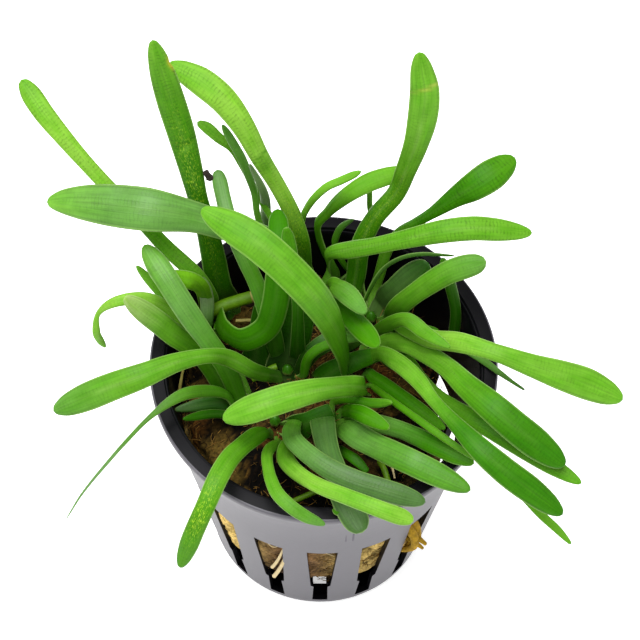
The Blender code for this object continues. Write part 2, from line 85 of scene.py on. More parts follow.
def linear(colour: Colour) -> Colour:
    """Turn a screen colour, 0 to 255, into the linear values that shaders take."""
    return tuple(((c / 255 + 0.055) / 1.055) ** 2.4 if c > 10 else c / 255 / 12.92 for c in colour)


def ease(low: float, high: float, value: np.ndarray) -> np.ndarray:
    """Rise gently from 0 at low to 1 at high."""
    share = np.clip((value - low) / (high - low), 0.0, 1.0)
    return share * share * (3 - 2 * share)


def bell(value: np.ndarray, middle: float, reach: float) -> np.ndarray:
    """A soft bump of height 1 at the middle."""
    return np.exp(-(((value - middle) / reach) ** 2))



class Graph:
    """A node tree with short calls to add and join nodes."""

    def __init__(self, tree: bpy.types.NodeTree) -> None:
        """Hold the tree."""
        self.tree = tree

    def add(self, kind: str, inputs: dict | None = None, **settings: object) -> bpy.types.Node:
        """Add a node.

        Args:
            kind: the node's type.
            inputs: values or output sockets by input name or number.
            settings: attributes of the node.

        Returns:
            The node.
        """
        node = self.tree.nodes.new(kind)
        for name, value in settings.items():
            setattr(node, name, value)
        for key, value in (inputs or {}).items():
            socket = node.inputs[key]
            if isinstance(value, bpy.types.NodeSocket):
                self.tree.links.new(value, socket)
            else:
                socket.default_value = value
        return node

    def math(self, operation: str, *values: object) -> bpy.types.NodeSocket:
        """Join values through a Math node and give back its output."""
        return self.add("ShaderNodeMath", dict(enumerate(values)), operation=operation).outputs[0]

    def remap(self, value: object, low: float, high: float, to_low: float, to_high: float) -> bpy.types.NodeSocket:
        """Map a value from one range to another, clamped."""
        node = self.add("ShaderNodeMapRange", {0: value, 1: low, 2: high, 3: to_low, 4: to_high})
        return node.outputs[0]

    def blend(self, kind: str, share: object, first: object, second: object) -> bpy.types.NodeSocket:
        """Blend two colours.

        Args:
            kind: the blend type, such as MIX or MULTIPLY.
            share: how much of the second.
            first: colour or socket.
            second: colour or socket.

        Returns:
            The colour socket.
        """
        node = self.add("ShaderNodeMix", {0: share, 6: first, 7: second}, data_type="RGBA", blend_type=kind)
        return node.outputs[2]


def node_group(name: str, inputs: dict[str, tuple[str, object]], outputs: dict[str, str]) -> tuple:
    """Start a shader node group.

    Args:
        name: the group's name.
        inputs: socket type and default by input name.
        outputs: socket type by output name.

    Returns:
        The group, its graph, its input node and its output node.
    """
    tree = bpy.data.node_groups.new(name, "ShaderNodeTree")
    for label, (kind, default) in inputs.items():
        socket = tree.interface.new_socket(name=label, in_out="INPUT", socket_type=kind)
        socket.default_value = default
    for label, kind in outputs.items():
        tree.interface.new_socket(name=label, in_out="OUTPUT", socket_type=kind)
    graph = Graph(tree)
    return tree, graph, graph.add("NodeGroupInput"), graph.add("NodeGroupOutput")


class SharedEffects:
    """The node groups that several materials use."""

    FLOAT = "NodeSocketFloat"
    COLOUR = "NodeSocketColor"

    def __init__(self) -> None:
        """Build each group once."""
        self.mottle = self._mottle()
        self.leaf = self._leaf()

    def _mottle(self) -> bpy.types.NodeTree:
        """Uneven colour and a fine rough height, at a stated grain in millimetres."""
        tree, graph, given, made = node_group(
            "mottle",
            {"Color": (self.COLOUR, (1, 1, 1, 1)), "Grain": (self.FLOAT, 1.0), "Contrast": (self.FLOAT, 0.3)},
            {"Color": self.COLOUR, "Height": self.FLOAT},
        )
        place = graph.add("ShaderNodeTexCoord").outputs["Object"]
        scale = graph.math("DIVIDE", 1 / MM, given.outputs["Grain"])
        large = graph.add("ShaderNodeTexNoise", {"Vector": place, "Scale": scale, "Detail": 4.0, "Roughness": 0.6})
        level = graph.remap(large.outputs[0], 0.3, 0.7, -0.5, 0.5)
        shade = graph.math("MULTIPLY_ADD", level, given.outputs["Contrast"], 1.0)
        grey = graph.add("ShaderNodeCombineColor", {0: shade, 1: shade, 2: shade}).outputs[0]
        graph.tree.links.new(graph.blend("MULTIPLY", 1.0, given.outputs["Color"], grey), made.inputs["Color"])
        graph.tree.links.new(large.outputs[0], made.inputs["Height"])
        return tree

    def _leaf(self) -> bpy.types.NodeTree:
        """Veins, net, flecks and mottling over a leaf's painted tone."""
        tree, graph, given, made = node_group(
            "leaf_skin",
            {
                "Tone": (self.COLOUR, (0.2, 0.5, 0.1, 1)),
                "Marks": (self.COLOUR, (0, 0, 0, 1)),
                "Veins": (self.FLOAT, 0.5),
                "Net": (self.FLOAT, 0.5),
                "Mottle": (self.FLOAT, 0.25),
                "Pools": (self.FLOAT, 0.5),
            },
            {"Color": self.COLOUR, "Roughness": self.FLOAT, "Height": self.FLOAT},
        )
        skin = graph.add("ShaderNodeUVMap", uv_map="skin").outputs[0]
        apart = graph.add("ShaderNodeSeparateXYZ", {0: skin})
        across, along = apart.outputs[0], apart.outputs[1]
        place = graph.add("ShaderNodeTexCoord").outputs["Object"]

        def stretched(wide: float, long: float) -> bpy.types.NodeSocket:
            """The skin's place, in cells that are narrow across and long along the leaf."""
            x = graph.math("MULTIPLY", across, wide)
            y = graph.math("MULTIPLY", along, long)
            return graph.add("ShaderNodeCombineXYZ", {0: x, 1: y}).outputs[0]

        fibre = graph.add("ShaderNodeTexNoise", {"Vector": stretched(7.0, 1.2), "Scale": 1.0, "Detail": 3.0})
        fibres = graph.remap(fibre.outputs[0], 0.32, 0.68, -1.0, 1.0)
        fold = graph.math("FRACT", graph.math("MULTIPLY_ADD", across, 3.5, 100.5))
        ridge = graph.math("ABSOLUTE", graph.math("SUBTRACT", fold, 0.5))
        vein = graph.remap(ridge, 0.0, 0.13, 1.0, 0.0)
        wander = graph.add("ShaderNodeTexNoise", {"Vector": stretched(2.2, 9.0), "Scale": 1.0, "Detail": 2.0})
        phase = graph.math("MULTIPLY_ADD", wander.outputs[0], 9.0, graph.math("MULTIPLY", along, 105.0))
        rung = graph.remap(graph.math("SINE", phase), 0.2, 0.95, 0.0, 1.0)
        gap = graph.add("ShaderNodeTexNoise", {"Vector": stretched(2.6, 3.4), "Scale": 1.0, "Detail": 2.0})
        rungs = graph.math("MULTIPLY", rung, graph.remap(gap.outputs[0], 0.42, 0.62, 0.1, 1.0))
        speck = graph.add("ShaderNodeTexNoise", {"Vector": stretched(24.0, 15.0), "Scale": 1.0, "Detail": 2.0})
        marks = graph.add("ShaderNodeSeparateColor", {0: given.outputs["Marks"]})
        few = graph.remap(speck.outputs[0], 0.57, 0.63, 0.0, 1.0)
        flecks = graph.math("MULTIPLY", few, marks.outputs[0])
        blotch = graph.add("ShaderNodeTexNoise", {"Vector": place, "Scale": 420.0, "Detail": 4.0, "Roughness": 0.65})
        level = graph.remap(blotch.outputs[0], 0.3, 0.7, -1.0, 1.0)
        pool = graph.add("ShaderNodeTexNoise", {"Vector": stretched(1.0, 1.5), "Scale": 1.0, "Detail": 2.5})
        inner = graph.math("SUBTRACT", 1.0, graph.math("MULTIPLY", across, across))
        pools = graph.math("MULTIPLY", graph.remap(pool.outputs[0], 0.44, 0.62, 0.0, 1.0), inner)

        streaks = graph.math("MULTIPLY", fibres, graph.math("MULTIPLY", given.outputs["Veins"], 0.14))
        lines = graph.math("MULTIPLY", vein, graph.math("MULTIPLY", given.outputs["Veins"], -0.12))
        mesh = graph.math("MULTIPLY", rungs, graph.math("MULTIPLY", given.outputs["Net"], -0.3))
        clouds = graph.math("MULTIPLY", level, given.outputs["Mottle"])
        shade = graph.math("ADD", graph.math("ADD", streaks, lines), graph.math("ADD", mesh, clouds))
        shade = graph.math("ADD", shade, 1.08)
        grey = graph.add("ShaderNodeCombineColor", {0: shade, 1: shade, 2: shade}).outputs[0]
        colour = graph.blend("MULTIPLY", 1.0, given.outputs["Tone"], grey)
        rich = graph.blend("MULTIPLY", 1.0, colour, (0.55, 0.82, 0.12, 1.0))
        colour = graph.blend("MIX", graph.math("MULTIPLY", pools, given.outputs["Pools"]), colour, rich)
        colour = graph.blend("MIX", flecks, colour, (0.36, 0.55, 0.03, 1.0))
        links = graph.tree.links
        links.new(colour, made.inputs["Color"])
        gloss = graph.remap(blotch.outputs[0], 0.3, 0.7, 0.36, 0.5)
        links.new(gloss, made.inputs["Roughness"])
        relief = graph.math("ADD", graph.math("MULTIPLY", vein, 0.5), graph.math("MULTIPLY", rungs, 0.5))
        relief = graph.math("ADD", relief, graph.math("MULTIPLY", fibres, 0.35))
        links.new(relief, made.inputs["Height"])
        return tree


@dataclass(frozen=True)
class SkinFinish:
    """A leaf finish: how strongly its veins, net and mottling show."""

    name: str
    veins: float = 0.5
    net: float = 0.5
    mottle: float = 0.1
    pools: float = 0.5
    specular: float = 0.45
    bump: float = 0.35

    def build(self, effects: SharedEffects) -> bpy.types.Material:
        """Make the material, which reads the leaf's painted tone and marks."""
        material = bpy.data.materials.new(self.name)
        material.use_nodes = True
        graph = Graph(material.node_tree)
        shader = material.node_tree.nodes["Principled BSDF"]
        tone = graph.add("ShaderNodeAttribute", attribute_name="tone").outputs["Color"]
        marks = graph.add("ShaderNodeAttribute", attribute_name="marks").outputs["Color"]
        skin = graph.add("ShaderNodeGroup", node_tree=effects.leaf)
        graph.tree.links.new(tone, skin.inputs["Tone"])
        graph.tree.links.new(marks, skin.inputs["Marks"])
        skin.inputs["Veins"].default_value = self.veins
        skin.inputs["Net"].default_value = self.net
        skin.inputs["Mottle"].default_value = self.mottle
        skin.inputs["Pools"].default_value = self.pools
        bump = graph.add(
            "ShaderNodeBump", {"Height": skin.outputs["Height"], "Strength": self.bump, "Distance": 0.06 * MM})
        graph.tree.links.new(skin.outputs["Color"], shader.inputs["Base Color"])
        graph.tree.links.new(skin.outputs["Roughness"], shader.inputs["Roughness"])
        graph.tree.links.new(bump.outputs[0], shader.inputs["Normal"])
        shader.inputs["Specular IOR Level"].default_value = self.specular
        return material


@dataclass(frozen=True)
class RoughFinish:
    """A mottled finish in one colour, for wool, roots, stems and plastic."""

    name: str
    colour: Colour
    roughness: float = 0.8
    grain: float = 1.0
    contrast: float = 0.4
    bump: float = 0.3
    specular: float = 0.5
    painted: bool = False

    def build(self, effects: SharedEffects) -> bpy.types.Material:
        """Make the material. A painted one takes its colour from the piece's tone."""
        material = bpy.data.materials.new(self.name)
        material.use_nodes = True
        graph = Graph(material.node_tree)
        shader = material.node_tree.nodes["Principled BSDF"]
        mottle = graph.add("ShaderNodeGroup", node_tree=effects.mottle)
        mottle.inputs["Color"].default_value = (*linear(self.colour), 1.0)
        mottle.inputs["Grain"].default_value = self.grain
        mottle.inputs["Contrast"].default_value = self.contrast
        if self.painted:
            tone = graph.add("ShaderNodeAttribute", attribute_name="tone").outputs["Color"]
            graph.tree.links.new(tone, mottle.inputs["Color"])
        bump = graph.add(
            "ShaderNodeBump", {"Height": mottle.outputs["Height"], "Strength": self.bump, "Distance": 0.1 * MM})
        graph.tree.links.new(mottle.outputs["Color"], shader.inputs["Base Color"])
        graph.tree.links.new(bump.outputs[0], shader.inputs["Normal"])
        shader.inputs["Roughness"].default_value = self.roughness
        shader.inputs["Specular IOR Level"].default_value = self.specular
        return material



class Tone(Enum):
    """Leaf colours, as screen colours in full light."""

    BRIGHT = (146, 206, 66)
    LIME = (128, 200, 30)
    FRESH = (120, 188, 48)
    LEAF = (104, 172, 36)
    GRASS = (84, 154, 16)
    DEEP = (62, 134, 4)
    DARK = (42, 100, 3)
    # Painted shade, for leaf bases deep among the others.
    SHADE = (26, 62, 3)
    # SILVER, GREY and MINT: the silvery leaves' grey-green, partly their own colour and partly painted sheen.
    SILVER = (104, 162, 64)
    GREY = (78, 122, 50)
    MINT = (150, 180, 124)
    PALE = (178, 212, 120)
    YELLOW = (196, 196, 50)
    STRAW = (206, 204, 96)
    WHITE = (228, 230, 200)
    BROWN = (100, 66, 30)

    def rgb(self) -> np.ndarray:
        """The surface colour that looks so in full light."""
        return np.array(linear(self.value)) * SURFACE_SHARE


class MarkKind(Enum):
    """What a mark on a leaf is."""

    PATCH = "patch"
    CREASE = "crease"
    NICK = "nick"
    FLECKS = "flecks"


@dataclass(frozen=True)
class Mark:
    """One mark: its place along the leaf, 0 to 1, and across it, -1 to 1, with its reach each way."""

    kind: MarkKind
    along: float
    across: float = 0.0
    long: float = 0.05
    wide: float = 0.5
    tone: Tone = Tone.PALE
    strength: float = 0.7
    slope: float = 0.0


@dataclass(frozen=True)
class LeafLook:
    """How one leaf is dressed: its tones from foot to tip, and its cross shape."""

    tones: tuple[Tone, ...]
    skin: str = "leaf_veined"
    camber: float = 0.2
    groove: float = 0.08
    # How strongly the painted rim highlight pales each edge.
    margin: float = 0.6
    midrib: float = 0.05
    lift: float = 0.0
    flare: float = 0.4
    marks: tuple[Mark, ...] = ()


@dataclass
class Station:
    """One cross section of a leaf."""

    centre: Vector
    across: Vector
    up: Vector
    half_width: float
    half_thickness: float
    share: float


class CadLeaf:
    """The cross sections of a leaf, read back from its CAD node."""

    RING = 6
    LAST_SHARE = 0.988
    CORNER_HEIGHT = math.sin(math.pi / 3)

    def __init__(self, node: bpy.types.Object) -> None:
        """Read the node's mesh."""
        self.name = node.name
        self.rings = self._rings(node)

    def _rings(self, node: bpy.types.Object) -> list[list[Vector]]:
        """The rings of corners, from the foot to the tip."""
        shape = bmesh.new()
        shape.from_mesh(node.data)
        bmesh.ops.remove_doubles(shape, verts=shape.verts, dist=WELD)
        plug_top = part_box("wool_plug")[1].z
        ends = self._end_rings(shape)
        ring = min(ends, key=lambda end: abs(sum(v.co.z for v in end) / self.RING - plug_top))
        rings = []
        seen = set()
        while ring:
            seen |= ring
            rings.append([v.co.copy() for v in ring])
            ring = {e.other_vert(v) for v in ring for e in v.link_edges} - seen
        shape.free()
        return rings

    def _end_rings(self, shape: bmesh.types.BMesh) -> list[set]:
        """The corners of the two flat ends."""
        ends = []
        seen = set()
        for face in shape.faces:
            if face in seen:
                continue
            flat = {face}
            queue = [face]
            while queue:
                for edge in queue.pop().edges:
                    for other in edge.link_faces:
                        if other not in flat and other.normal.dot(face.normal) > 1 - 1e-5:
                            flat.add(other)
                            queue.append(other)
            seen |= flat
            corners = {v for f in flat for v in f.verts}
            around = {e.other_vert(v) for v in corners for e in v.link_edges} - corners
            if len(corners) == self.RING and len(around) == self.RING:
                ends.append(corners)
        return ends

    def stations(self) -> list[Station]:
        """The cross sections, with their edges and their lit side found."""
        centres = [sum(ring, Vector()) / self.RING for ring in self.rings]
        run = [0.0]
        for first, second in zip(centres, centres[1:]):
            run.append(run[-1] + (second - first).length)
        total = run[-1] / self.LAST_SHARE
        last = len(centres) - 1
        ways = [(centres[min(i + 1, last)] - centres[max(i - 1, 0)]).normalized() for i in range(last + 1)]
        spans = [self._diagonals(ring, centre) for ring, centre in zip(self.rings, centres)]
        widest = max(range(last + 1), key=lambda i: max(s.length for s in spans[i]))
        chosen: dict[int, Vector] = {}
        start = max(spans[widest], key=lambda s: s.length)
        if start.cross(ways[widest]).dot(LIGHT) < 0:
            start = -start
        chosen[widest] = start
        for order in (range(widest + 1, last + 1), range(widest - 1, -1, -1)):
            before = start
            for i in order:
                both = [s * sign for s in spans[i] for sign in (1, -1)]
                before = max(both, key=lambda s: s.dot(before.normalized()))
                chosen[i] = before
        found = []
        for i, (ring, centre) in enumerate(zip(self.rings, centres)):
            across = chosen[i].normalized()
            up = across.cross(ways[i]).normalized()
            thick = max(abs((corner - centre).dot(up)) for corner in ring) / self.CORNER_HEIGHT
            found.append(Station(centre, across, up, chosen[i].length, thick, run[i] / total))
        return found

    @staticmethod
    def _diagonals(ring: list[Vector], centre: Vector) -> list[Vector]:
        """Half of each line from a corner to the opposite one."""
        halves = []
        for corner in ring:
            if all(abs((corner - centre).normalized().dot(h.normalized())) < 0.9999 for h in halves):
                halves.append(corner - centre)
        return halves


class LeafCurve:
    """A smooth curve through stations, sampled at any share of the leaf's length."""

    def __init__(self, stations: list[Station], foot: Vector | None = None) -> None:
        """Set the keys.

        Args:
            stations: cross sections from foot to tip.
            foot: where the leaf joins its crown, below the first section.
        """
        length = (stations[-1].centre - stations[-2].centre).length
        length /= stations[-1].share - stations[-2].share
        self.length = length if len(stations) < 3 else self._length(stations)
        keys = list(stations)
        if foot is not None:
            first = stations[0]
            step = (foot - first.centre).length / self.length
            keys.insert(0, Station(foot, first.across, first.up, first.half_width, first.half_thickness, -step))
        self.keys = keys
        self.start = keys[0].share
        self.shares = np.array([k.share for k in keys])
        self.centres = np.array([k.centre for k in keys])
        self.acrosses = np.array([k.across for k in keys])
        self.squares = np.array([k.half_width ** 2 for k in keys])
        self.thick = np.array([k.half_thickness for k in keys])

    @staticmethod
    def _length(stations: list[Station]) -> float:
        """The leaf's whole length."""
        run = sum((b.centre - a.centre).length for a, b in zip(stations, stations[1:]))
        return run / (stations[-1].share - stations[0].share)

    @staticmethod
    def _hermite(at: np.ndarray, keys: np.ndarray, values: np.ndarray) -> np.ndarray:
        """A cubic through the values, with each slope taken from the neighbours."""
        values = values.reshape(len(keys), -1)
        slopes = np.empty_like(values)
        slopes[1:-1] = (values[2:] - values[:-2]) / (keys[2:] - keys[:-2])[:, None]
        slopes[0] = (values[1] - values[0]) / (keys[1] - keys[0])
        slopes[-1] = (values[-1] - values[-2]) / (keys[-1] - keys[-2])
        index = np.clip(np.searchsorted(keys, at, side="right") - 1, 0, len(keys) - 2)
        gap = keys[index + 1] - keys[index]
        t = ((at - keys[index]) / gap)[:, None]
        gap = gap[:, None]
        return (
            (2 * t ** 3 - 3 * t ** 2 + 1) * values[index]
            + (t ** 3 - 2 * t ** 2 + t) * gap * slopes[index]
            + (3 * t ** 2 - 2 * t ** 3) * values[index + 1]
            + (t ** 3 - t ** 2) * gap * slopes[index + 1]
        )

    def sample(self, at: np.ndarray) -> tuple[np.ndarray, ...]:
        """Read the curve.

        Args:
            at: shares of the leaf's length, rising.

        Returns:
            Centres, unit acrosses, unit ups, half widths and half thicknesses.
        """
        tip = self.centres[-1] + (self.centres[-1] - self.centres[-2]) * (
            (1 - self.shares[-1]) / (self.shares[-1] - self.shares[-2]))
        keys = np.append(self.shares, 1.0)
        centres = self._hermite(at, keys, np.vstack([self.centres, tip]))
        acrosses = self._hermite(at, keys, np.vstack([self.acrosses, self.acrosses[-1]]))
        squares = self._hermite(at, keys, np.append(self.squares, 0.0))[:, 0]
        thick = self._hermite(at, keys, np.append(self.thick, self.thick[-1] * 0.6))[:, 0]
        ways = np.gradient(centres, axis=0)
        ways /= np.linalg.norm(ways, axis=1)[:, None]
        acrosses -= (acrosses * ways).sum(1)[:, None] * ways
        acrosses /= np.linalg.norm(acrosses, axis=1)[:, None]
        return centres, acrosses, np.cross(acrosses, ways), np.sqrt(np.clip(squares, 0, None)), thick


@dataclass
class StrapLeaf:
    """A fine leaf: a thin closed blade with a midrib groove, dressed in its own tones."""

    name: str
    curve: LeafCurve
    look: LeafLook
    seed: int
    sides: int = 24
    spacing: float = 0.42
    thinness: float = 0.62

    def build(self) -> bpy.types.Object:
        """Make the leaf's mesh and give back its object."""
        rows = max(12, round(self.curve.length * (1 - self.curve.start) / (self.spacing * MM)))
        shares = self.curve.start + (1 - self.curve.start) * np.linspace(0, 1, rows + 1)
        blend_in = ease(0.75, 1.0, np.linspace(0, 1, rows + 1))
        shares = shares + blend_in * (1 - shares) * 0.35
        points, tones, marks, across = self._surface(shares)
        shape = bmesh.new()
        bmesh.ops.create_grid(shape, x_segments=rows, y_segments=self.sides, size=0.5)
        tone_layer = shape.verts.layers.float_color.new("tone")
        mark_layer = shape.verts.layers.float_color.new("marks")
        skin_layer = shape.loops.layers.uv.new("skin")
        length = self.curve.length / MM
        for vert in shape.verts:
            i = round((vert.co.x + 0.5) * rows)
            j = round((vert.co.y + 0.5) * self.sides)
            vert.index = i * (self.sides + 1) + j
        for face in shape.faces:
            for loop in face.loops:
                i, j = divmod(loop.vert.index, self.sides + 1)
                loop[skin_layer].uv = (across[j], shares[i] * length * 0.1)
        for vert in shape.verts:
            i, j = divmod(vert.index, self.sides + 1)
            vert.co = points[i, j]
            vert[tone_layer] = (*tones[i, j], 1.0)
            vert[mark_layer] = (*marks[i, j], 1.0)
        bmesh.ops.remove_doubles(shape, verts=shape.verts, dist=WELD)
        rim = [edge for edge in shape.edges if edge.is_boundary]
        bmesh.ops.contextual_create(shape, geom=rim)
        bmesh.ops.recalc_face_normals(shape, faces=shape.faces)
        return piece_from(self.name, shape)

    def _surface(self, shares: np.ndarray) -> tuple[np.ndarray, ...]:
        """The blade's points, its tones and its marks, row by row."""
        look = self.look
        centres, acrosses, ups, half, thick = self.curve.sample(shares)
        turn = np.linspace(0, 2 * np.pi, self.sides + 1)
        x = np.cos(turn)[None, :]
        side = np.sin(turn)[None, :]
        s = shares[:, None]
        half = half[:, None] * (1 + look.flare * (1 - ease(0.1, 0.5, s)))
        left, right = self._nicks(s)
        reach = half * np.where(x < 0, left, right)
        width_mm = np.maximum(half / MM, 1e-3)
        blade = ease(0.05, 0.45, s)
        body = thick[:, None] * self.thinness * side * np.sqrt(np.clip(half / (0.25 * half.max()), 0, 1))
        bend = look.camber * blade * half * (0.35 - x ** 2)
        groove = -look.groove * MM * blade * bell(x * width_mm, 0.0, 0.28) * np.where(side > 0, 1.0, -0.8)
        fade = np.clip(width_mm / 0.8, 0, 1)
        ripple = self._ripple(s, x) * half * blade
        lift = body + bend + groove * fade + ripple + self._creases(s, x) * MM
        points = (
            centres[:, None, :]
            + acrosses[:, None, :] * (x * reach)[:, :, None]
            + ups[:, None, :] * lift[:, :, None]
        )
        points[-1] = centres[-1]
        tones, marks = self._paint(s, x, side)
        return points, tones, marks, np.cos(turn)

    def _ripple(self, s: np.ndarray, x: np.ndarray) -> np.ndarray:
        """A slight uneven wave of the two edges, as a share of the half width."""
        source = random.Random(self.seed)
        phase = [source.uniform(0, 6.3) for _ in range(4)]
        rate = [source.uniform(9, 14), source.uniform(17, 25)]
        right = np.sin(rate[0] * s + phase[0]) + 0.5 * np.sin(rate[1] * s + phase[1])
        left = np.sin(rate[0] * s + phase[2]) + 0.5 * np.sin(rate[1] * s + phase[3])
        return 0.035 * np.abs(x) ** 3 * np.where(x > 0, right, left)

    def _nicks(self, s: np.ndarray) -> tuple[np.ndarray, np.ndarray]:
        """How much of its width each edge keeps beside the leaf's nicks."""
        left, right = np.ones_like(s), np.ones_like(s)
        for mark in self.look.marks:
            if mark.kind is MarkKind.NICK:
                bite = 1 - mark.strength * bell(s, mark.along, mark.long)
                if mark.across < 0:
                    left = left * bite
                else:
                    right = right * bite
        return left, right

    def _creases(self, s: np.ndarray, x: np.ndarray) -> np.ndarray:
        """The dip of each crease, in millimetres."""
        dip = np.zeros_like(s * x)
        for mark in self.look.marks:
            if mark.kind is MarkKind.CREASE:
                dip -= 0.12 * mark.strength * bell(s + mark.slope * x, mark.along, mark.long * 1.4)
        return dip

    def _paint(self, s: np.ndarray, x: np.ndarray, side: np.ndarray) -> tuple[np.ndarray, np.ndarray]:
        """The tone and the marks of every point."""
        look = self.look
        stops = np.linspace(0, 1, len(look.tones))
        palette = np.array([tone.rgb() for tone in look.tones])
        flat = np.clip(s[:, 0], 0, 1)
        base = np.stack([np.interp(flat, stops, palette[:, c]) for c in range(3)], axis=1)
        tones = np.repeat(base[:, None, :], x.shape[1], axis=1)
        # Painted shade: a thin darker band just inside each edge.
        painted_edge_shade = bell(np.abs(x), 0.88, 0.06) * 0.16 * np.ones_like(s)
        tones *= 1 - painted_edge_shade[:, :, None]
        # Painted rim highlight: each edge paled towards PALE.
        edge = ease(0.93, 1.0, np.abs(x)) * look.margin * np.ones_like(s)
        tones += (Tone.PALE.rgb() - tones) * edge[:, :, None]
        rib = bell(x, 0.0, 0.07) * look.midrib * ease(0.02, 0.2, 1 - s)
        tones += (Tone.PALE.rgb() - tones) * rib[:, :, None]
        stalk = (1 - ease(-0.02, 0.09, s)) * 0.12 * np.ones_like(x)
        tones += (Tone.PALE.rgb() - tones) * stalk[:, :, None]
        under = (side < -0.1) * 0.2 * np.ones_like(s)
        tones += (Tone.SILVER.rgb() - tones) * under[:, :, None]
        marks = np.zeros_like(tones)
        for mark in look.marks:
            if mark.kind is MarkKind.NICK:
                continue
            reach = bell(s + mark.slope * x, mark.along, mark.long) * bell(x, mark.across, mark.wide)
            reach = np.clip(reach * 1.4, 0, 1) * mark.strength * (side > -0.2)
            if mark.kind is MarkKind.FLECKS:
                marks[:, :, 0] = np.maximum(marks[:, :, 0], reach)
            else:
                tones += (mark.tone.rgb() - tones) * reach[:, :, None]
        return np.clip(tones, 0, 1), marks


def piece_from(name: str, shape: bmesh.types.BMesh, smooth: bool = True) -> bpy.types.Object:
    """Turn a finished bmesh into a piece that rides on the root body.

    Args:
        name: the piece's name.
        shape: the bmesh, which is freed.
        smooth: whether its faces are shaded smooth.

    Returns:
        The object.
    """
    mesh = bpy.data.meshes.new(name)
    shape.to_mesh(mesh)
    shape.free()
    return piece_of(name, mesh, smooth)


def piece_of(name: str, mesh: bpy.types.Mesh, smooth: bool = True) -> bpy.types.Object:
    """Link a mesh as a piece that rides on the root body."""
    mesh.polygons.foreach_set("use_smooth", [smooth] * len(mesh.polygons))
    piece = bpy.data.objects.new(name, mesh)
    bpy.context.scene.collection.objects.link(piece)
    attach(piece, ROOT_BODY)
    return piece


def dress(piece: bpy.types.Object, material: bpy.types.Material) -> None:
    """Give a piece its material."""
    piece.data.materials.clear()
    piece.data.materials.append(material)


L = LeafLook
T = Tone
K = MarkKind

